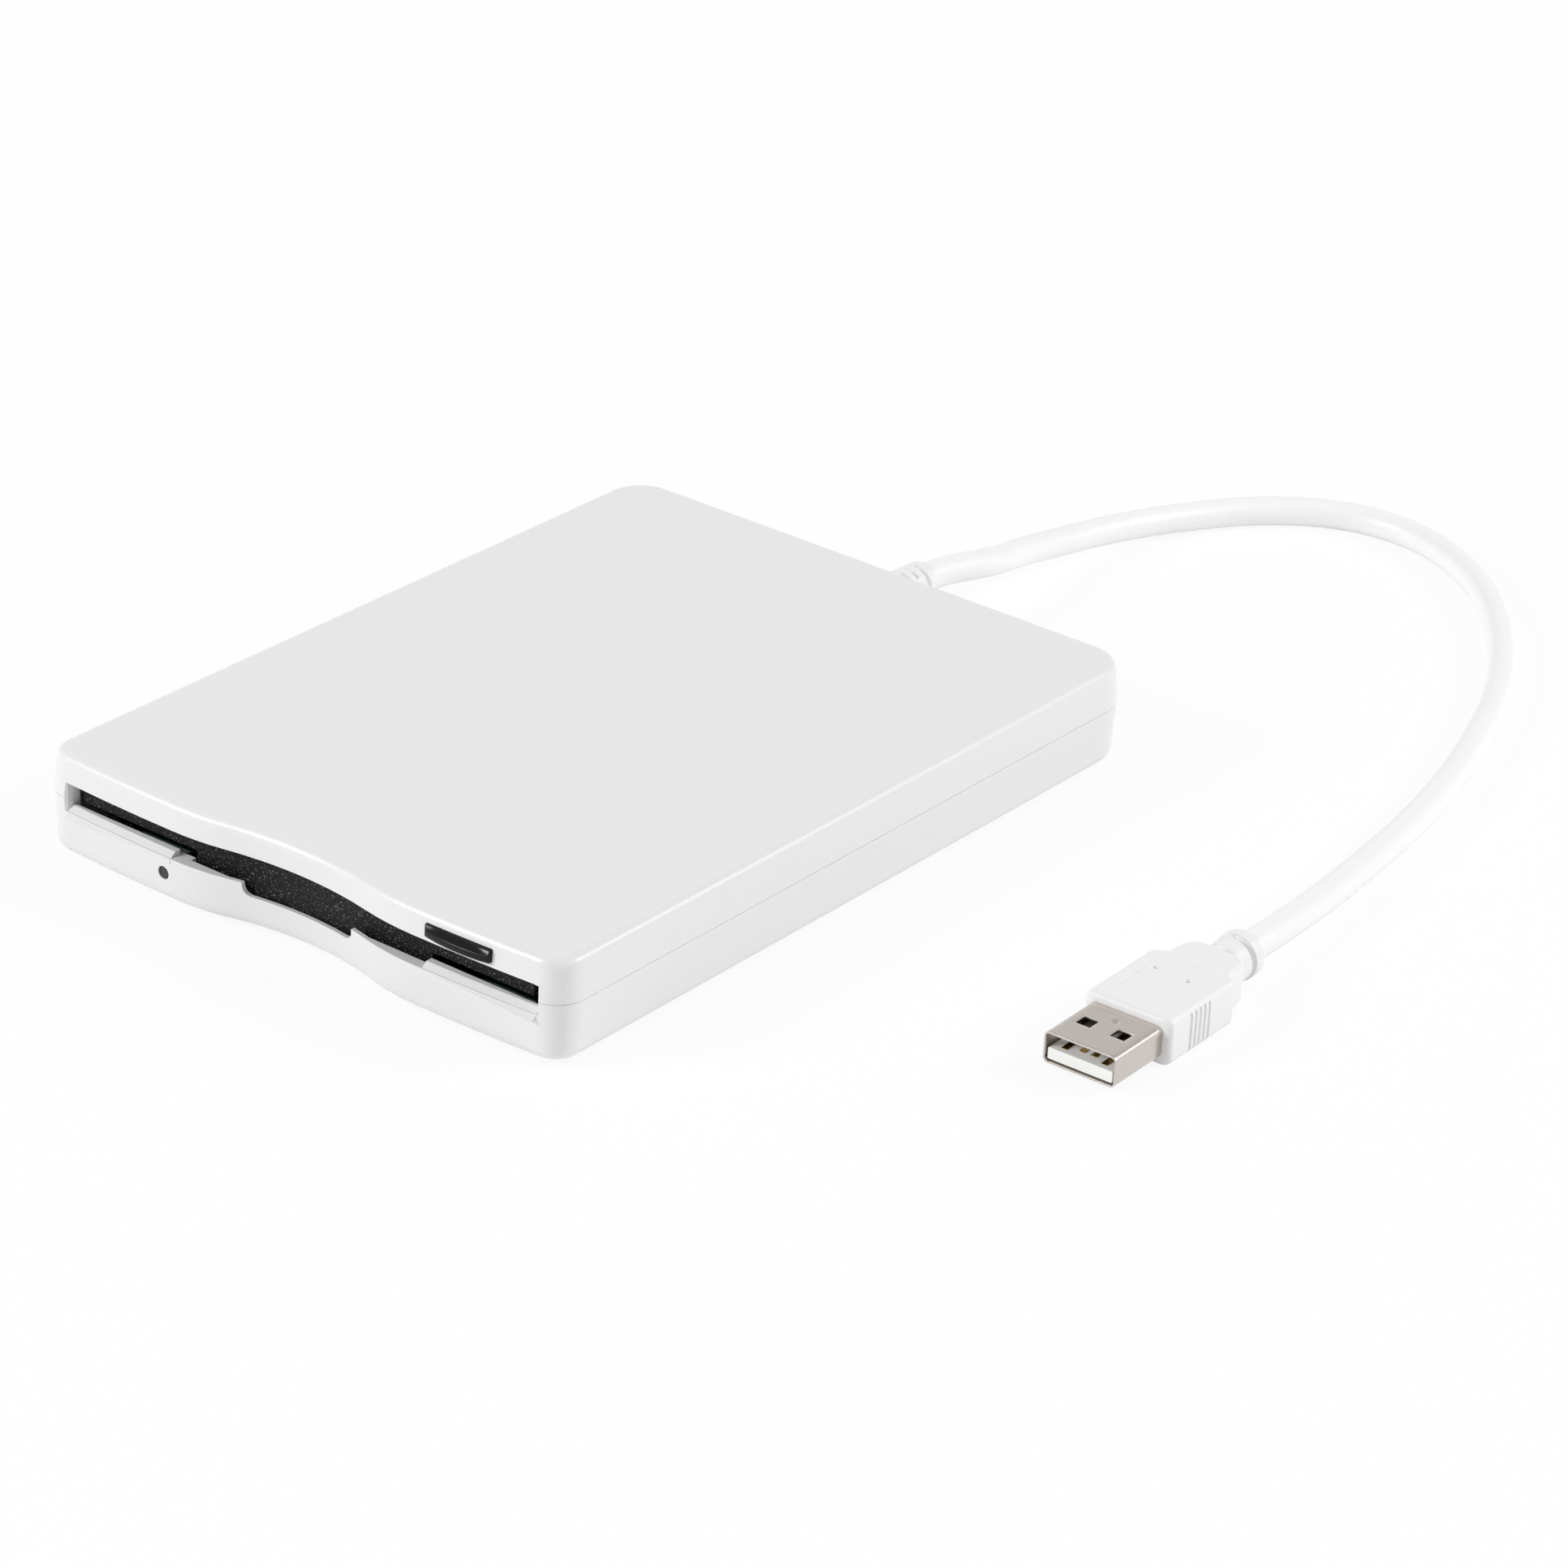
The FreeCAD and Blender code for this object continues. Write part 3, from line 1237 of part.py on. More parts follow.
def main():
    os.makedirs("parts", exist_ok=True)
    save("base_shell", base_shell())
    save("top_cover", top_cover())
    save("case_screws", *case_screws())
    save("rubber_feet", *rubber_feet())
    save("dust_flap", dust_flap())
    save("status_lens", status_lens())
    save("status_led", status_led())
    save("switch_board", switch_board())
    save("switch_bodies", *switch_bodies())
    left, right, third = switch_places()
    save("density_plunger", plunger(*left))
    save("protect_plunger", plunger(*right))
    save("disk_in_plunger", plunger(*third))
    save("chassis_frame", chassis_frame())
    save("chassis_screws", *chassis_screws())
    save("guide_rods", *guide_rods())
    save("eject_slide_plate", eject_slide_plate())
    save("eject_button", eject_button())
    save("eject_springs", *eject_springs())
    save("disk_holder", disk_holder())
    save("holder_pins", *holder_pins())
    save("shutter_lever", shutter_lever())
    save("motor_board", motor_board())
    save("spindle_bearing", spindle_bearing())
    save("stator_core", stator_core())
    save("stator_coils", *stator_coils())
    save("rotor_cup", rotor_cup())
    save("rotor_magnet", rotor_magnet())
    save("hub_plate", hub_plate())
    save("spindle_shaft", spindle_shaft())
    save("drive_pin", drive_pin())
    save("head_carriage", head_carriage())
    save("arm_pin", arm_pin())
    save("screw_follower", screw_follower())
    save("lower_head", lower_head())
    save("head_arm", head_arm())
    save("upper_head", upper_head())
    save("stepper_motor", stepper_motor())
    save("lead_screw", lead_screw())
    save("screw_bracket", screw_bracket())
    save("control_board", control_board())
    save("board_chips", *board_chips())
    save("cable_socket", cable_socket())
    save("flat_cable", flat_cable())
    save("cable_boot", cable_boot())
    save("signal_wires", *signal_wires())
    save("usb_cable", usb_cable())
    save("plug_grip", plug_grip())
    save("plug_shell", plug_shell())
    save("plug_tongue", plug_tongue())
    save("plug_contacts", *plug_contacts())


main()
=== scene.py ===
import bpy
import math
import numpy as np
from mathutils import Matrix, Vector


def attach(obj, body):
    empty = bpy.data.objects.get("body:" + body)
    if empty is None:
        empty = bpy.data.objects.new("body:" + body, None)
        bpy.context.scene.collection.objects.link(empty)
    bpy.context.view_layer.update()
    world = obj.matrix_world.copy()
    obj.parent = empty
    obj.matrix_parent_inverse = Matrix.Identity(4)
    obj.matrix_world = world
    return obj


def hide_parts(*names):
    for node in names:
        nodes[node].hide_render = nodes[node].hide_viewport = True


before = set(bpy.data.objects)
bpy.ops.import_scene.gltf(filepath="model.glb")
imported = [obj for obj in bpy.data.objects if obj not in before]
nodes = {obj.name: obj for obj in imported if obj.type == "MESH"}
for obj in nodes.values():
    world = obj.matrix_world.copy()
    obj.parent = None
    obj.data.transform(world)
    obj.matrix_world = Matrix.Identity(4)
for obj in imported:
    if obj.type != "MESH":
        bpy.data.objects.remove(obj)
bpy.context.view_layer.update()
mm = 0.001


def toLinear(hexColour):
    """sRGB hex to linear red, green, blue and alpha."""
    text = hexColour.lstrip("#")
    parts = [int(text[i:i + 2], 16) / 255 for i in (0, 2, 4)]
    return [c / 12.92 if c <= 0.04045 else ((c + 0.055) / 1.055) ** 2.4 for c in parts] + [1.0]


def addNode(tree, kind, settings=None, links=None):
    """Adds one shader node, sets its properties and socket values, and links its inputs."""
    node = tree.nodes.new(kind)
    for name, value in (settings or {}).items():
        if isinstance(name, int) or name in node.inputs:
            node.inputs[name].default_value = value
        else:
            setattr(node, name, value)
    for name, output in (links or {}).items():
        tree.links.new(output, node.inputs[name])
    return node


def newMaterial(name):
    material = bpy.data.materials.new(name)
    material.use_nodes = True
    tree = material.node_tree
    tree.nodes.clear()
    output = addNode(tree, "ShaderNodeOutputMaterial")
    return material, tree, output


# The camera stands where the photograph was taken, fitted to the corners of the case
cameraView = {"eye": (520.08, -638.17, 418.75), "target": (18.14, 24.18, 0.8), "roll": 2.752,
              "lens": 134.83}


def placeCamera():
    data = bpy.data.cameras.new("photoCamera")
    data.sensor_width = 36.0
    data.lens = cameraView["lens"]
    data.clip_end = 20.0
    camera = bpy.data.objects.new("photoCamera", data)
    bpy.context.scene.collection.objects.link(camera)
    eye = Vector(cameraView["eye"]) * mm
    forward = (Vector(cameraView["target"]) * mm - eye).normalized()
    right = forward.cross(Vector((0, 0, 1))).normalized()
    up = right.cross(forward)
    turn = math.radians(cameraView["roll"])
    side = right * math.cos(turn) + up * math.sin(turn)
    top = up * math.cos(turn) - right * math.sin(turn)
    rows = Matrix((side, top, -forward)).transposed().to_4x4()
    camera.matrix_world = Matrix.Translation(eye) @ rows
    bpy.context.scene.camera = camera


placeCamera()
print("camera placed")


# Soft white PVC lead, 5 mm across, shown from end to end
cable = {
    "diameter": 5.0,
    "length": 284.8,
    "sides": 6,
    "route": [
        (0.0, 83.6, 10.9), (0.0, 88.0, 10.9), (1.8, 101.0, 8.8), (0.2, 111.3, 6.8),
        (0.8, 120.2, 5.6), (2.0, 133.5, 4.1), (6.4, 148.7, 2.9), (14.7, 163.0, 2.5),
        (26.6, 171.7, 2.5), (40.6, 173.1, 2.5), (54.6, 167.4, 2.5), (69.1, 155.1, 2.5),
        (85.0, 131.7, 2.5), (95.3, 103.5, 2.5), (100.9, 80.1, 2.5), (104.1, 56.0, 2.5),
        (106.8, 37.6, 4.0), (107.07, 22.8, 4.0),
    ],
}


def makeCable():
    data = bpy.data.curves.new("usbCableCurve", "CURVE")
    data.dimensions = "3D"
    data.bevel_depth = cable["diameter"] / 2 * mm
    data.bevel_resolution = cable["sides"]
    data.resolution_u = 16
    data.use_fill_caps = True
    spline = data.splines.new("NURBS")
    spline.points.add(len(cable["route"]) - 1)
    for point, place in zip(spline.points, cable["route"]):
        point.co = [c * mm for c in place] + [1.0]
    spline.order_u = 3
    spline.use_endpoint_u = True
    piece = bpy.data.objects.new("usbCable", data)
    bpy.context.scene.collection.objects.link(piece)
    return piece


usbCable = makeCable()
print("cable laid")


def ease(value, start, end):
    """Goes smoothly from 0 at start to 1 at end: three times the square less twice the cube."""
    t = np.clip((value - start) / (end - start), 0.0, 1.0)
    return t * t * (3 - 2 * t)


def band(value, low, high, soft):
    """1 between low and high, falling to 0 over the soft distance outside each."""
    return ease(value, low - soft, low) * (1 - ease(value, high, high + soft))


def gridFaces(rows, columns, keep=None):
    """Quads between the rows of a grid whose columns close into a ring, as one index array."""
    row, column = np.meshgrid(np.arange(rows - 1), np.arange(columns), indexing="ij")
    after = (column + 1) % columns
    quads = np.stack([row * columns + column, row * columns + after,
                      (row + 1) * columns + after, (row + 1) * columns + column], axis=-1)
    return quads[keep] if keep is not None else quads.reshape(-1, 4)


def newPiece(name, places, faces, body, finish, caps=()):
    """Makes a mesh from places in millimetres and quads. A cap closes one ring of points."""
    mesh = bpy.data.meshes.new(name)
    corners = faces.tolist() + [list(cap) for cap in caps]
    mesh.from_pydata((places.reshape(-1, 3) * mm).tolist(), [], corners)
    mesh.shade_smooth()
    mesh.update()
    piece = bpy.data.objects.new(name, mesh)
    bpy.context.scene.collection.objects.link(piece)
    mesh.materials.append(finishes[finish])
    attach(piece, body)
    return piece


def roundedRing(halfWide, halfHigh, corner, sideSteps):
    """A rectangle with round corners at each row: quarter circles joined by evenly divided sides."""
    angle = np.linspace(0, np.pi / 2, 8)
    signs = ((1, 1), (-1, 1), (-1, -1), (1, -1))
    across = []
    upward = []
    for index, (signX, signZ) in enumerate(signs):
        first = index * np.pi / 2
        last = first + np.pi / 2
        turn = angle + first
        x = signX * (halfWide - corner) + corner * np.cos(turn)
        z = signZ * (halfHigh - corner) + corner * np.sin(turn)
        nextX, nextZ = signs[(index + 1) % 4]
        endX = nextX * (halfWide - corner) + corner * np.cos(last)
        endZ = nextZ * (halfHigh - corner) + corner * np.sin(last)
        part = np.linspace(0, 1, sideSteps[index] + 1)[1:-1]
        across += [x, x[:, -1:] + (endX - x[:, -1:]) * part]
        upward += [z, z[:, -1:] + (endZ - z[:, -1:]) * part]
    return np.concatenate(across, axis=1), np.concatenate(upward, axis=1)


# Moulded plastics: a fine grain of the tool's surface as bump, and a slow drift in gloss
def mouldedPlastic(name, colour, roughness, grain=0.35, bump=0.02, drift=0.04, ior=1.53, spread=0.0,
                   gleam=0.5, paintedGlints=None):
    """A moulded plastic. grain is the texture's size and bump its height, both in millimetres. spread
    is how far its tone varies, and the painted glints take a colour and the noise level above which
    they show: bright flecks painted into the colour for light caught off the texture."""
    material, tree, output = newMaterial(name)
    place = addNode(tree, "ShaderNodeTexCoord").outputs["Object"]
    fine = addNode(tree, "ShaderNodeTexNoise", {"Scale": 1000.0 / grain, "Detail": 2.0},
                   {"Vector": place})
    slow = addNode(tree, "ShaderNodeTexNoise", {"Scale": 40.0, "Detail": 3.0}, {"Vector": place})
    gloss = addNode(tree, "ShaderNodeMapRange",
                    {"To Min": roughness - drift, "To Max": roughness + drift},
                    {"Value": slow.outputs["Fac"]})
    height = addNode(tree, "ShaderNodeBump", {"Strength": 1.0, "Distance": bump * mm},
                     {"Height": fine.outputs["Fac"]})
    shader = addNode(tree, "ShaderNodeBsdfPrincipled", {"IOR": ior, "Specular IOR Level": gleam},
                     {"Roughness": gloss.outputs["Result"], "Normal": height.outputs["Normal"]})
    if spread:
        pale = [min(1.0, c * (1 + spread)) for c in toLinear(colour)[:3]] + [1.0]
        dark = [c * (1 - spread) for c in toLinear(colour)[:3]] + [1.0]
        mix = addNode(tree, "ShaderNodeMix", {"data_type": "RGBA"}, {"Factor": fine.outputs["Fac"]})
        mix.inputs[6].default_value = dark
        mix.inputs[7].default_value = pale
        shade = mix.outputs[2]
        # Painted glints: where the finer noise passes the level, bright flecks are mixed into the
        # colour in place of light caught by the texture
        if paintedGlints:
            glintColour, level = paintedGlints
            glintNoise = addNode(tree, "ShaderNodeTexNoise", {"Scale": 1600.0 / grain, "Detail": 1.0},
                           {"Vector": place})
            lit = addNode(tree, "ShaderNodeMapRange", {"From Min": level, "From Max": level + 0.06},
                          {"Value": glintNoise.outputs["Fac"]})
            glintMix = addNode(tree, "ShaderNodeMix", {"data_type": "RGBA"},
                           {"Factor": lit.outputs["Result"]})
            tree.links.new(shade, glintMix.inputs[6])
            glintMix.inputs[7].default_value = toLinear(glintColour)
            shade = glintMix.outputs[2]
        tree.links.new(shade, shader.inputs["Base Color"])
    else:
        shader.inputs["Base Color"].default_value = toLinear(colour)
    tree.links.new(shader.outputs["BSDF"], output.inputs["Surface"])
    return material


# Metals: brushed along one axis, or plain with faint rolling marks
def finishedMetal(name, colour, roughness, grain=0.12, stretch=(1.0, 0.04, 1.0), bump=0.004,
                  drift=0.06, wave=0.0):
    """A metal. grain is the spacing of its marks in millimetres, stretch draws them out along an
    axis, and wave is the height in millimetres of the sheet's own slow unevenness."""
    material, tree, output = newMaterial(name)
    place = addNode(tree, "ShaderNodeTexCoord").outputs["Object"]
    drawn = addNode(tree, "ShaderNodeMapping", {"Scale": stretch}, {"Vector": place})
    marks = addNode(tree, "ShaderNodeTexNoise", {"Scale": 1000.0 / grain, "Detail": 3.0},
                    {"Vector": drawn.outputs["Vector"]})
    gloss = addNode(tree, "ShaderNodeMapRange",
                    {"To Min": roughness - drift, "To Max": roughness + drift},
                    {"Value": marks.outputs["Fac"]})
    height = addNode(tree, "ShaderNodeBump", {"Strength": 1.0, "Distance": bump * mm},
                     {"Height": marks.outputs["Fac"]})
    if wave:
        slow = addNode(tree, "ShaderNodeTexNoise", {"Scale": 160.0, "Detail": 1.0}, {"Vector": place})
        height = addNode(tree, "ShaderNodeBump", {"Strength": 1.0, "Distance": wave * mm},
                         {"Height": slow.outputs["Fac"], "Normal": height.outputs["Normal"]})
    shader = addNode(tree, "ShaderNodeBsdfPrincipled",
                     {"Metallic": 1.0, "Base Color": toLinear(colour)},
                     {"Roughness": gloss.outputs["Result"], "Normal": height.outputs["Normal"]})
    tree.links.new(shader.outputs["BSDF"], output.inputs["Surface"])
    return material


finishes = {
    # ABS moulded in a polished tool with a soft sheen: broad pale highlights on the edges
    "satinWhiteAbs": mouldedPlastic("satinWhiteAbs", "#eaeaea", 0.34, grain=0.5, bump=0.002,
                                    drift=0.03),
    # ABS from a spark-eroded tool: matt black, with fine bright flecks painted into its colour as
    # glints of light off the texture
    "sparkErodedBlackAbs": mouldedPlastic("sparkErodedBlackAbs", "#0e0e0f", 0.55, grain=0.45,
                                          bump=0.3, drift=0.05, spread=0.6, gleam=0.2,
                                          paintedGlints=("#6a6a6a", 0.62)),
    # Polished black ABS: dark with one crisp highlight along the top edge
    "polishedBlackAbs": mouldedPlastic("polishedBlackAbs", "#050506", 0.18, grain=0.8,
                                       bump=0.001, drift=0.02, gleam=0.26),
    # Smoked polycarbonate light guide: near black until it lights
    "smokedPolycarbonate": mouldedPlastic("smokedPolycarbonate", "#1d1f1d", 0.12, bump=0.001,
                                          drift=0.02, ior=1.58),
    "clearEpoxy": mouldedPlastic("clearEpoxy", "#dfe3d8", 0.12, bump=0.001, drift=0.02),
    # Soft PVC: a little duller than the case and faintly rippled from extrusion
    "extrudedWhitePvc": mouldedPlastic("extrudedWhitePvc", "#f8f8f8", 0.40, grain=0.7, bump=0.006,
                                       drift=0.04),
    "mouldedWhitePvc": mouldedPlastic("mouldedWhitePvc", "#f1f1f1", 0.42, grain=0.4, bump=0.006,
                                      drift=0.04),
    "feltedGreyRubber": mouldedPlastic("feltedGreyRubber", "#6e6e70", 0.8, grain=0.3, bump=0.02,
                                       drift=0.05),
    "whiteNylon": mouldedPlastic("whiteNylon", "#e6e2d6", 0.45, bump=0.004),
    "glassFilledResin": mouldedPlastic("glassFilledResin", "#2a2a2c", 0.5, grain=0.2, bump=0.01,
                                       spread=0.3),
    "chipEpoxy": mouldedPlastic("chipEpoxy", "#1f1f20", 0.55, grain=0.15, bump=0.01, spread=0.2),
    "solderMask": mouldedPlastic("solderMask", "#0a3320", 0.3, grain=1.2, bump=0.01, spread=0.15),
    "polyesterFilm": mouldedPlastic("polyesterFilm", "#dcdcd6", 0.3, grain=1.0, bump=0.004),
    "redWireSleeve": mouldedPlastic("redWireSleeve", "#a8241c", 0.4, bump=0.004),
    "lappedCeramic": mouldedPlastic("lappedCeramic", "#c9c3b4", 0.14, grain=0.1, bump=0.001,
                                    ior=1.7),
    "sinteredFerrite": mouldedPlastic("sinteredFerrite", "#3a3a3c", 0.6, grain=0.1, bump=0.01,
                                      spread=0.2),
    "plugInsulator": mouldedPlastic("plugInsulator", "#f7f7f5", 0.38, bump=0.003),
    # Bright nickel over a rolled steel shell: clear reflections with hairline marks along the plug
    "brightNickelPlate": finishedMetal("brightNickelPlate", "#cdc6c0", 0.2, grain=0.2,
                                       bump=0.0015, drift=0.05,
                                       wave=0.03),
    # Gold plate, its colour darkened well below bright gold as painted shade of the shell over the
    # contacts
    "shadeDarkenedGoldPlate": finishedMetal("shadeDarkenedGoldPlate", "#8f7136", 0.3, grain=0.1, bump=0.001),
    "zincPlatedSheet": finishedMetal("zincPlatedSheet", "#b9bcbf", 0.38, grain=0.3, bump=0.003),
    "rolledStainlessSheet": finishedMetal("rolledStainlessSheet", "#c2c2c0", 0.3, grain=0.15,
                                          bump=0.002),
    "groundSteel": finishedMetal("groundSteel", "#c8c8c8", 0.18, grain=0.08, bump=0.001),
    "drawnSpringWire": finishedMetal("drawnSpringWire", "#a2a2a2", 0.35),
    "stampedCoreSteel": finishedMetal("stampedCoreSteel", "#8d8f90", 0.45, stretch=(1.0, 1.0, 0.1)),
    "sinteredBronze": finishedMetal("sinteredBronze", "#a27a44", 0.5, grain=0.1, stretch=(1.0,
                                    1.0, 1.0), bump=0.008),
    "enamelledCopper": finishedMetal("enamelledCopper", "#b5602f", 0.28, grain=0.12, bump=0.02),
    "drawnMotorCan": finishedMetal("drawnMotorCan", "#aeb0b2", 0.34, grain=0.2),
}

nodeFinish = {
    "satinWhiteAbs": ["base_shell", "top_cover"],
    "sparkErodedBlackAbs": ["dust_flap"],
    "polishedBlackAbs": ["eject_button"],
    "smokedPolycarbonate": ["status_lens"],
    "clearEpoxy": ["status_led"],
    "feltedGreyRubber": ["rubber_feet"],
    "mouldedWhitePvc": ["cable_boot", "plug_grip"],
    "zincPlatedSheet": ["chassis_frame", "eject_slide_plate", "screw_bracket"],
    "rolledStainlessSheet": ["disk_holder", "head_arm", "shutter_lever", "rotor_cup"],
    "groundSteel": ["case_screws", "chassis_screws", "guide_rods", "holder_pins", "arm_pin",
                    "lead_screw", "spindle_shaft", "drive_pin", "hub_plate", "screw_follower"],
    "drawnSpringWire": ["eject_springs"],
    "solderMask": ["switch_board", "motor_board", "control_board"],
    "chipEpoxy": ["board_chips", "switch_bodies"],
    "whiteNylon": ["density_plunger", "protect_plunger", "disk_in_plunger", "cable_socket"],
    "sinteredBronze": ["spindle_bearing"],
    "stampedCoreSteel": ["stator_core"],
    "enamelledCopper": ["stator_coils"],
    "sinteredFerrite": ["rotor_magnet"],
    "glassFilledResin": ["head_carriage"],
    "lappedCeramic": ["lower_head", "upper_head"],
    "drawnMotorCan": ["stepper_motor"],
    "polyesterFilm": ["flat_cable"],
    "redWireSleeve": ["signal_wires"],
    "brightNickelPlate": ["plug_shell"],
    "plugInsulator": ["plug_tongue"],
    "shadeDarkenedGoldPlate": ["plug_contacts"],
}


def setMaterial(piece, name):
    piece.data.materials.clear()
    piece.data.materials.append(finishes[name])


for finish, members in nodeFinish.items():
    for member in members:
        setMaterial(nodes[member], finish)
setMaterial(usbCable, "extrudedWhitePvc")
print("finishes given")


# The plug points away from the cable's end, turned a little about the upright
plugStart = (107.0, 25.6, 4.0)
plugYaw = math.atan2(0.3, 12.0)


def plugPlaces(x, s, z):
    """Turns places across, along and above the plug's own line into places in the frame."""
    return np.stack([plugStart[0] + x * math.cos(plugYaw) + s * math.sin(plugYaw),
                     plugStart[1] + x * math.sin(plugYaw) - s * math.cos(plugYaw),
                     plugStart[2] + z + 0 * x], axis=-1)


# Soft moulded grip: round relief with staggered slots, flared neck, body with a bare sunk panel
plugGrip = {
    "reliefStart": 2.6, "reliefRadius": 3.6, "reliefEnd": 10.0, "reliefLip": 0.9, "lipLength": 0.8,
    "ringRadius": 3.85, "ringEnd": 5.2, "ringFade": 0.6, "slotFloor": 2.8, "slotEdge": 0.08,
    "slots": [(5.25, 6.0, -1.25, 1.7), (9.1, 9.7, 0.45, 1.85), (9.1, 9.7, -2.2, -0.7),
              (9.1, 9.7, 2.4, 3.6)],
    "neckStart": 4.1, "neckHalfWide": 5.85, "neckHalfHigh": 3.7, "neckStep": 0.7, "neckFlare": 1.3,
    "bodyStart": (15.3, 17.9), "bodyEnd": 34.5, "bodyHalfWide": 7.73, "bodyHalfHigh": 4.0,
    "corner": 1.6, "frontRound": 1.1,
    "panelMiddle": -0.35, "panelHalfWide": 4.6, "panelStart": 18.1, "panelDepth": 0.12,
    "panelFade": (29.0, 32.5), "outlineDepth": 0.16, "outlineWidth": 0.3,
    "pins": [(-3.6, 21.8), (2.5, 22.2)], "pinRadius": 0.4, "pinDepth": 1.3,
    "grooves": 5, "grooveStart": 24.0, "groovePitch": 1.2, "grooveWidth": 0.42, "grooveDepth": 0.5,
    "grooveLow": -4.5, "grooveHigh": 2.9,
    "mouthHalfWide": 6.03, "mouthHalfHigh": 2.28, "mouthCorner": 0.5, "mouthFloor": 30.4,
    "sides": (110, 26, 20, 26),
    "stations": [(17.8, 140), (17.88, 19.0, 15), (19.1, 23.7, 62), (23.8, 29.6, 92), (29.8, 33.2, 20),
                 (33.3, 34.5, 14)],
}


def slotDepth(along, angle, slots, edge):
    """How far slots sink, from 0 to 1: each is a band along the line and a band of the turn."""
    sink = np.zeros(np.broadcast(along, angle).shape)
    for near, far, first, last in slots:
        away = (angle - (first + last) / 2 + np.pi) % (2 * np.pi) - np.pi
        turned = band(np.abs(away), -1, (last - first) / 2, 0.1)
        sink = np.maximum(sink, band(along, near, far, edge) * turned)
    return sink


def gripSections(g, s):
    """Half width, half height and corner radius by the distance s along the plug. The relief is a
    circle, the neck widens as one less a decaying exponential, the body eases out from it, and its
    front edge is a quarter circle."""
    start = np.sqrt(1 - (1 - np.clip((s - g["reliefStart"]) / g["lipLength"], 0, 1)) ** 2)
    ring = 1 - ease(s, g["ringEnd"], g["ringEnd"] + g["ringFade"])
    relief = g["reliefRadius"] + (g["ringRadius"] - g["reliefRadius"]) * ring
    relief = relief - g["reliefLip"] * (1 - start)
    neckOpen = ease(s, g["reliefEnd"], g["reliefEnd"] + g["neckStep"])
    flare = 1 - np.exp(-np.clip(s - g["reliefEnd"], 0, None) / g["neckFlare"])
    body = ease(s, *g["bodyStart"])
    frontTurn = np.clip((s - g["bodyEnd"] + g["frontRound"]) / g["frontRound"], 0, 1)
    front = g["frontRound"] * (1 - np.sqrt(1 - frontTurn ** 2))
    neckWide = g["neckStart"] + (g["neckHalfWide"] - g["neckStart"]) * flare
    wide = relief + (neckWide - relief) * neckOpen + (g["bodyHalfWide"] - neckWide) * body - front
    high = relief + (g["neckHalfHigh"] - relief) * neckOpen
    high = high + (g["bodyHalfHigh"] - g["neckHalfHigh"]) * body - front
    corner = np.minimum(relief + (g["corner"] - relief) * neckOpen, high - 0.01)
    return wide, high, corner


def makePlugGrip():
    """Rounded sections along the plug. The panel with its outline and pin marks pushes the top down,
    the grooves push the sides in, and the slots pull the relief towards its middle. The last two
    rings turn in to form the mouth that holds the shell."""
    g = plugGrip
    first, *others = g["stations"]
    s = np.concatenate([np.linspace(g["reliefStart"], *first)]
                       + [np.linspace(*station) for station in others])[:, None]
    wide, high, corner = gripSections(g, s)
    x, z = roundedRing(wide, high, corner, g["sides"])
    onTop = ease(z, high - 0.35, high - 0.05)
    inside = np.minimum(g["panelHalfWide"] - np.abs(x - g["panelMiddle"]), s - g["panelStart"])
    outline = np.exp(-((inside - 0.15) / (g["outlineWidth"] / 2)) ** 2)
    depth = g["panelDepth"] * ease(inside, 0.0, 0.2) + g["outlineDepth"] * outline
    depth = depth * (1 - ease(s, *g["panelFade"]))
    for pinX, pinS in g["pins"]:
        away = ((x - pinX) ** 2 + (s - pinS) ** 2) / g["pinRadius"] ** 2
        depth = depth + g["pinDepth"] * np.exp(-away ** 2)
    z = z - depth * onTop
    onSide = ease(np.abs(x), wide - 0.3, wide - 0.05) * band(z, g["grooveLow"], g["grooveHigh"], 0.25)
    for index in range(g["grooves"]):
        middle = g["grooveStart"] + index * g["groovePitch"] + g["grooveWidth"] / 2
        cut = band(s, middle - g["grooveWidth"] / 2, middle + g["grooveWidth"] / 2, 0.08)
        x = x - np.sign(x) * g["grooveDepth"] * cut * onSide
    sink = slotDepth(s, np.arctan2(z, x), g["slots"], g["slotEdge"])
    shrink = 1 - sink * (1 - g["slotFloor"] / g["reliefRadius"])
    mouth = [np.full((2, 1), g[key]) for key in ("mouthHalfWide", "mouthHalfHigh", "mouthCorner")]
    mouthX, mouthZ = roundedRing(*mouth, g["sides"])
    rows = np.concatenate([s + 0 * x, np.array([[g["bodyEnd"]], [g["mouthFloor"]]]) + 0 * mouthX])
    x = np.concatenate([x * shrink, mouthX])
    z = np.concatenate([z * shrink, mouthZ])
    count = x.shape[1]
    last = (x.shape[0] - 1) * count
    faces = gridFaces(x.shape[0], count)[:, ::-1]
    piece = newPiece("plugGrip", plugPlaces(x, rows, z), faces, "case", "mouldedWhitePvc",
                     caps=[range(count), range(last + count - 1, last - 1, -1)])
    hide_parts("plug_grip")
    return piece


# Folded nickel-plated shell with two windows and a pressed dimple
plugShell = {
    "halfWide": 6.0, "halfHigh": 2.25, "corner": 0.55, "wall": 0.3, "start": 30.0, "tip": 46.5,
    "windowX": (1.75, 4.25), "windowS": (39.1, 41.6),
    "dimple": {"across": 0.0, "along": 37.6, "floor": 0.2, "radius": 0.75, "depth": 0.3},
    "rim": 0.08,
}


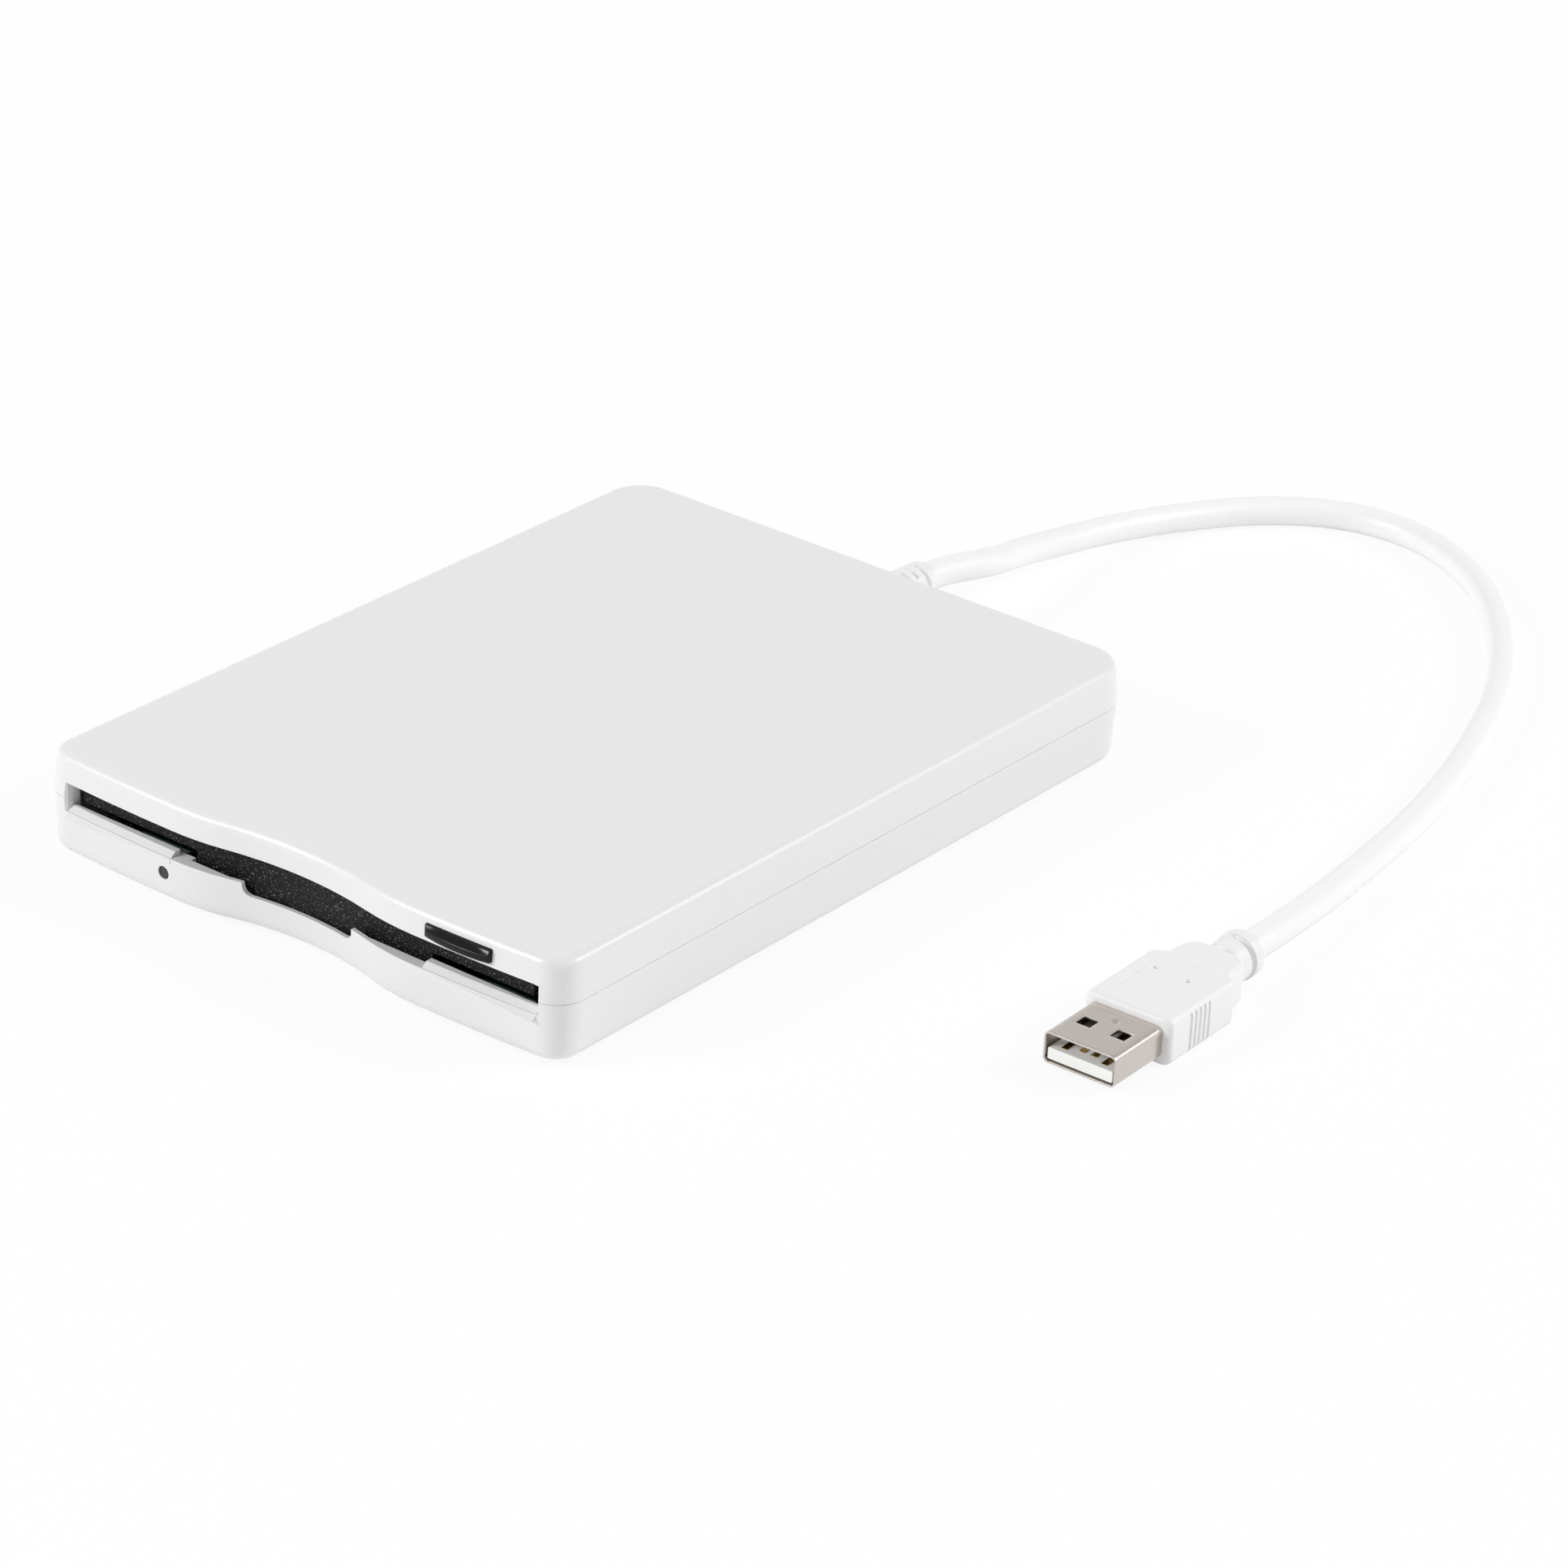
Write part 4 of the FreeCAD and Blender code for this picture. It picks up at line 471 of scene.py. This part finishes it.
def shellOutline(g):
    """The rounded rectangle, ring by ring point. Its flat sides get finer lines at the dimple, and
    lines along the windows' edges."""
    flat = g["halfWide"] - g["corner"]
    upright = g["halfHigh"] - g["corner"]
    near, far = g["windowX"]
    lines = np.unique(np.concatenate([np.linspace(-flat, flat, 19), np.linspace(-1.2, 1.2, 13),
                                      [-far, -near, near, far]]).round(3))
    turn = np.linspace(0, np.pi / 2, 7)[1:-1]
    rise = np.linspace(-upright, upright, 8)
    wide = 0 * rise + g["halfWide"]
    high = 0 * lines + g["halfHigh"]
    outCos = flat + g["corner"] * np.cos(turn)
    outSin = flat + g["corner"] * np.sin(turn)
    upSin = upright + g["corner"] * np.sin(turn)
    upCos = upright + g["corner"] * np.cos(turn)
    x = np.concatenate([wide, outCos, lines[::-1], -outSin, -wide, -outCos, lines, outSin])
    z = np.concatenate([rise, upSin, high, upCos, rise[::-1], -upSin, -high, -upCos])
    return x, z


def makePlugShell():
    """The outline carried straight along the plug, without the cells inside the windows. The dimple
    sinks smoothly towards its middle."""
    g = plugShell
    x, z = shellOutline(g)
    s = np.unique(np.concatenate([np.linspace(g["start"], g["tip"], 34), np.linspace(36.5, 38.9, 13),
                                  g["windowS"]]).round(3))
    rows = s[:, None] + 0 * x
    across = x + 0 * rows
    height = z + 0 * rows
    midX = np.abs((across[:-1] + np.roll(across, -1, axis=1)[:-1]) / 2)
    midS = (rows[:-1] + rows[1:]) / 2
    midZ = np.abs((height[:-1] + np.roll(height, -1, axis=1)[:-1]) / 2)
    topOrBottom = g["halfHigh"] - 0.01
    window = ((midX > g["windowX"][0]) & (midX < g["windowX"][1]) & (midS > g["windowS"][0])
              & (midS < g["windowS"][1]) & (midZ > topOrBottom))
    dimple = g["dimple"]
    away = np.hypot(across - dimple["across"], rows - dimple["along"])
    sunk = 1 - ease(away, dimple["floor"], dimple["radius"])
    height = height - dimple["depth"] * sunk * (height > topOrBottom)
    faces = gridFaces(*rows.shape, keep=~window)[:, ::-1]
    piece = newPiece("plugShell", plugPlaces(across, rows, height), faces, "case",
                     "brightNickelPlate")
    wall = piece.modifiers.new("wall", "SOLIDIFY")
    wall.thickness = g["wall"] * mm
    wall.offset = -1.0
    rim = piece.modifiers.new("rim", "BEVEL")
    rim.width = g["rim"] * mm
    rim.segments = 2
    rim.limit_method = "ANGLE"
    rim.angle_limit = math.radians(50)
    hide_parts("plug_shell")
    return piece


# Strain relief boot: a collar held inside the wall, then a sleeve with staggered slots
cableBoot = {
    "wallPlace": 71.4, "height": 10.9, "slotFloor": 2.7, "slotEdge": 0.08, "rows": 301, "columns": 96,
    "slots": [(3.0, 3.5, -0.2, 1.5), (5.4, 5.9, 0.6, 1.5), (7.4, 7.9, 0.9, 1.7),
              (9.5, 10.0, -0.2, 1.5)],
    "profile": [(-3.9, 0.0), (-3.9, 4.0), (-2.3, 4.0), (-2.3, 3.0), (-0.02, 3.0), (-0.02, 3.35),
                (0.25, 3.5), (2.0, 3.5), (6.0, 3.45), (11.2, 3.3), (11.9, 3.15), (12.2, 2.8),
                (12.2, 2.3)],
}


def makeCableBoot():
    """A profile of radius by distance behind the case, turned about the cable's line. Slots sink the
    radius over part of the turn, and again on the other side."""
    g = cableBoot
    knots = np.array(g["profile"])
    share = np.linspace(0, len(knots) - 1, g["rows"])
    along = np.interp(share, np.arange(len(knots)), knots[:, 0])[:, None]
    radius = np.interp(share, np.arange(len(knots)), knots[:, 1])[:, None]
    angle = np.linspace(0, 2 * np.pi, g["columns"], endpoint=False)[None, :]
    sink = np.maximum(slotDepth(along, angle, g["slots"], g["slotEdge"]),
                      slotDepth(along, angle - math.pi, g["slots"], g["slotEdge"]))
    radius = radius - (radius - g["slotFloor"]) * sink
    places = np.stack([radius * np.cos(angle), along + g["wallPlace"] + 0 * angle,
                       g["height"] + radius * np.sin(angle)], axis=-1)[1:]
    rows, columns = places.shape[:2]
    piece = newPiece("cableBoot", places, gridFaces(rows, columns), "case", "mouldedWhitePvc",
                     caps=[range(columns - 1, -1, -1), range((rows - 1) * columns, rows * columns)])
    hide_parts("cable_boot")
    return piece


# Insulating tongue: a white block that fills the lower half of the shell
plugTongue = {"halfWide": 5.66, "low": -1.945, "high": -0.05, "back": 31.0, "middle": 40.0,
              "tip": 46.3, "round": 0.07, "corner": 0.25}


def makePlugTongue():
    """A flat rounded section carried along the plug, whose tip shrinks along a quarter circle."""
    g = plugTongue
    turn = np.linspace(0, np.pi / 2, 7)
    rounding = g["tip"] - g["round"] * (1 - np.sin(turn))
    s = np.concatenate([[g["back"], g["middle"]], rounding])[:, None]
    less = np.concatenate([[0, 0], g["round"] * (1 - np.cos(turn))])[:, None]
    middle = (g["low"] + g["high"]) / 2
    halfHigh = (g["high"] - g["low"]) / 2 - less
    x, z = roundedRing(g["halfWide"] - less, halfHigh, np.full_like(less, g["corner"]), (8, 4, 8, 4))
    count = x.shape[1]
    last = (len(s) - 1) * count
    faces = gridFaces(len(s), count)[:, ::-1]
    piece = newPiece("plugTongue", plugPlaces(x, s + 0 * x, z + middle), faces, "case",
                     "plugInsulator", caps=[range(count), range(last + count - 1, last - 1, -1)])
    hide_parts("plug_tongue")
    return piece


# Eject button: a sloping top facet and an upright front facet meet in a crest, and both bulge forward
ejectButton = {
    "left": 26.6, "right": 38.9, "low": 13.4, "high": 15.4, "frontFace": -71.4, "caseFloor": 0.8,
    "bulge": 0.78, "endStep": 0.14, "bulgePower": 2.2, "endRound": 0.1, "crest": 14.6,
    "crestRound": 0.2, "lowRound": 0.25, "topStart": 0.12, "topDrop": 0.06, "depth": 8.6,
}


def makeButton():
    """Sections across the button. Each runs from the back over the top facet, round the crest and
    down the front. How far the front stands out is the bulge times one less a power of the share
    from the middle."""
    g = ejectButton
    half = (g["right"] - g["left"]) / 2
    inner = np.linspace(-1, 1, 81) * (1 - g["endRound"] / half)
    across = np.concatenate([[-1.0], inner, [1.0]])[:, None]
    bow = 1 - np.abs(across) ** g["bulgePower"]
    forward = g["endStep"] + (g["bulge"] - g["endStep"]) * bow
    forward = forward - g["endRound"] * (np.abs(across) > 0.999)
    turn = np.linspace(0, np.pi / 2, 6)[None, :]
    crestRound = np.clip(forward * 0.5, 0.02, g["crestRound"])
    crestY = -forward + crestRound * (1 - np.sin(turn))
    crestZ = g["crest"] + crestRound * (np.cos(turn) - 1)
    lowY = -forward + g["lowRound"] * (1 - np.cos(turn))
    lowZ = g["low"] + g["lowRound"] * (1 - np.sin(turn)) + 0 * across
    back = g["depth"] + 0 * across
    top = g["high"] + 0 * across
    y = np.concatenate([back, g["topStart"] + 0 * across, 0 * across, crestY, lowY, back], axis=1)
    z = np.concatenate([top, top, top - g["topDrop"], crestZ, lowZ, g["low"] + 0 * across], axis=1)
    x = (g["left"] + g["right"]) / 2 + across * half + 0 * y
    places = np.stack([x, y + g["frontFace"], z + g["caseFloor"]], axis=-1)
    count = y.shape[1]
    last = (len(across) - 1) * count
    piece = newPiece("ejectButton", places, gridFaces(len(across), count), "eject_slider",
                     "polishedBlackAbs", caps=[range(count - 1, -1, -1), range(last, last + count)])
    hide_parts("eject_button")
    return piece


buttonPiece = makeButton()
tonguePiece = makePlugTongue()
gripPiece = makePlugGrip()
shellPiece = makePlugShell()
bootPiece = makeCableBoot()
print("plug and boot made")

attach(usbCable, "case")
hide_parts("usb_cable")


# White sweep under and behind the object, which shows white to the camera and keeps a soft shadow
studio = {"floorSize": 6.0, "floorColour": "#fdfdfd", "shadowShare": 0.12, "skyLevel": 0.52,
          "dimWay": (0.66, -0.75, 0.0), "dimShare": 0.26, "zenithLevel": 0.62,
          "zenithFrom": 0.2, "zenithTo": 0.75}


def makeFloor():
    half = studio["floorSize"] / 2
    verts = [(-half, -half, 0), (half, -half, 0), (half, half, 0), (-half, half, 0)]
    mesh = bpy.data.meshes.new("studioFloor")
    mesh.from_pydata(verts, [], [(0, 1, 2, 3)])
    floor = bpy.data.objects.new("studioFloor", mesh)
    bpy.context.scene.collection.objects.link(floor)
    material, tree, output = newMaterial("paperSweep")
    paper = addNode(tree, "ShaderNodeBsdfDiffuse", {"Color": toLinear(studio["floorColour"])})
    white = addNode(tree, "ShaderNodeEmission", {"Color": (1, 1, 1, 1), "Strength": 1.0})
    path = addNode(tree, "ShaderNodeLightPath")
    seen = addNode(tree, "ShaderNodeMath", {"operation": "MAXIMUM"},
                   {0: path.outputs["Is Camera Ray"], 1: path.outputs["Is Glossy Ray"]})
    clear = addNode(tree, "ShaderNodeMath", {"operation": "MAXIMUM"},
                    {0: seen.outputs[0], 1: path.outputs["Is Transmission Ray"]})
    share = addNode(tree, "ShaderNodeMath", {"operation": "MULTIPLY", 1: 1 - studio["shadowShare"]},
                    {0: clear.outputs[0]})
    mix = addNode(tree, "ShaderNodeMixShader", {}, {0: share.outputs[0], 1: paper.outputs["BSDF"],
                                                    2: white.outputs["Emission"]})
    tree.links.new(mix.outputs[0], output.inputs["Surface"])
    mesh.materials.append(material)


def makeSky():
    """White for the camera. Reflections see it darken with height, as under softboxes, and diffuse
    light dims towards the camera's side."""
    world = bpy.data.worlds.new("studioSky")
    bpy.context.scene.world = world
    world.use_nodes = True
    tree = world.node_tree
    tree.nodes.clear()
    path = addNode(tree, "ShaderNodeLightPath")
    way = addNode(tree, "ShaderNodeTexCoord").outputs["Generated"]
    facing = addNode(tree, "ShaderNodeVectorMath", {"operation": "DOT_PRODUCT", 1: studio["dimWay"]},
                     {0: way})
    dim = addNode(tree, "ShaderNodeMapRange",
                  {"From Min": 0.0, "From Max": 1.0, "To Min": studio["skyLevel"],
                   "To Max": studio["skyLevel"] * (1 - studio["dimShare"])},
                  {"Value": facing.outputs["Value"]})
    tilt = addNode(tree, "ShaderNodeSeparateXYZ", {}, {0: way})
    mirrored = addNode(tree, "ShaderNodeMapRange",
                       {"From Min": studio["zenithFrom"], "From Max": studio["zenithTo"],
                        "To Min": 1.0, "To Max": studio["zenithLevel"]}, {"Value": tilt.outputs["Z"]})
    level = addNode(tree, "ShaderNodeMix", {"data_type": "FLOAT"}, {0: path.outputs["Is Glossy Ray"]})
    tree.links.new(dim.outputs["Result"], level.inputs[2])
    tree.links.new(mirrored.outputs["Result"], level.inputs[3])
    plain = addNode(tree, "ShaderNodeMix", {"data_type": "FLOAT"}, {0: path.outputs["Is Camera Ray"]})
    plain.inputs[3].default_value = 1.0
    tree.links.new(level.outputs[0], plain.inputs[2])
    sky = addNode(tree, "ShaderNodeBackground", {"Color": (1, 1, 1, 1)},
                  {"Strength": plain.outputs[0]})
    output = addNode(tree, "ShaderNodeOutputWorld")
    tree.links.new(sky.outputs[0], output.inputs["Surface"])


lamps = {
    "frontLeftLamp": {"place": (-0.80, -1.20, 0.85), "size": 0.5, "power": 13.5},
    "rightRearLamp": {"place": (1.10, 0.86, 0.90), "size": 0.6, "power": 12.5},
}


def makeLamps():
    for name, lamp in lamps.items():
        data = bpy.data.lights.new(name, "AREA")
        data.shape = "SQUARE"
        data.size = lamp["size"]
        data.energy = lamp["power"]
        piece = bpy.data.objects.new(name, data)
        bpy.context.scene.collection.objects.link(piece)
        place = Vector(lamp["place"])
        aim = (Vector((0.0, 0.0, 0.0)) - place).to_track_quat("-Z", "Y")
        piece.matrix_world = Matrix.Translation(place) @ aim.to_matrix().to_4x4()


makeFloor()
makeSky()
makeLamps()
bpy.context.scene.view_settings.view_transform = "Standard"
print("studio lit")
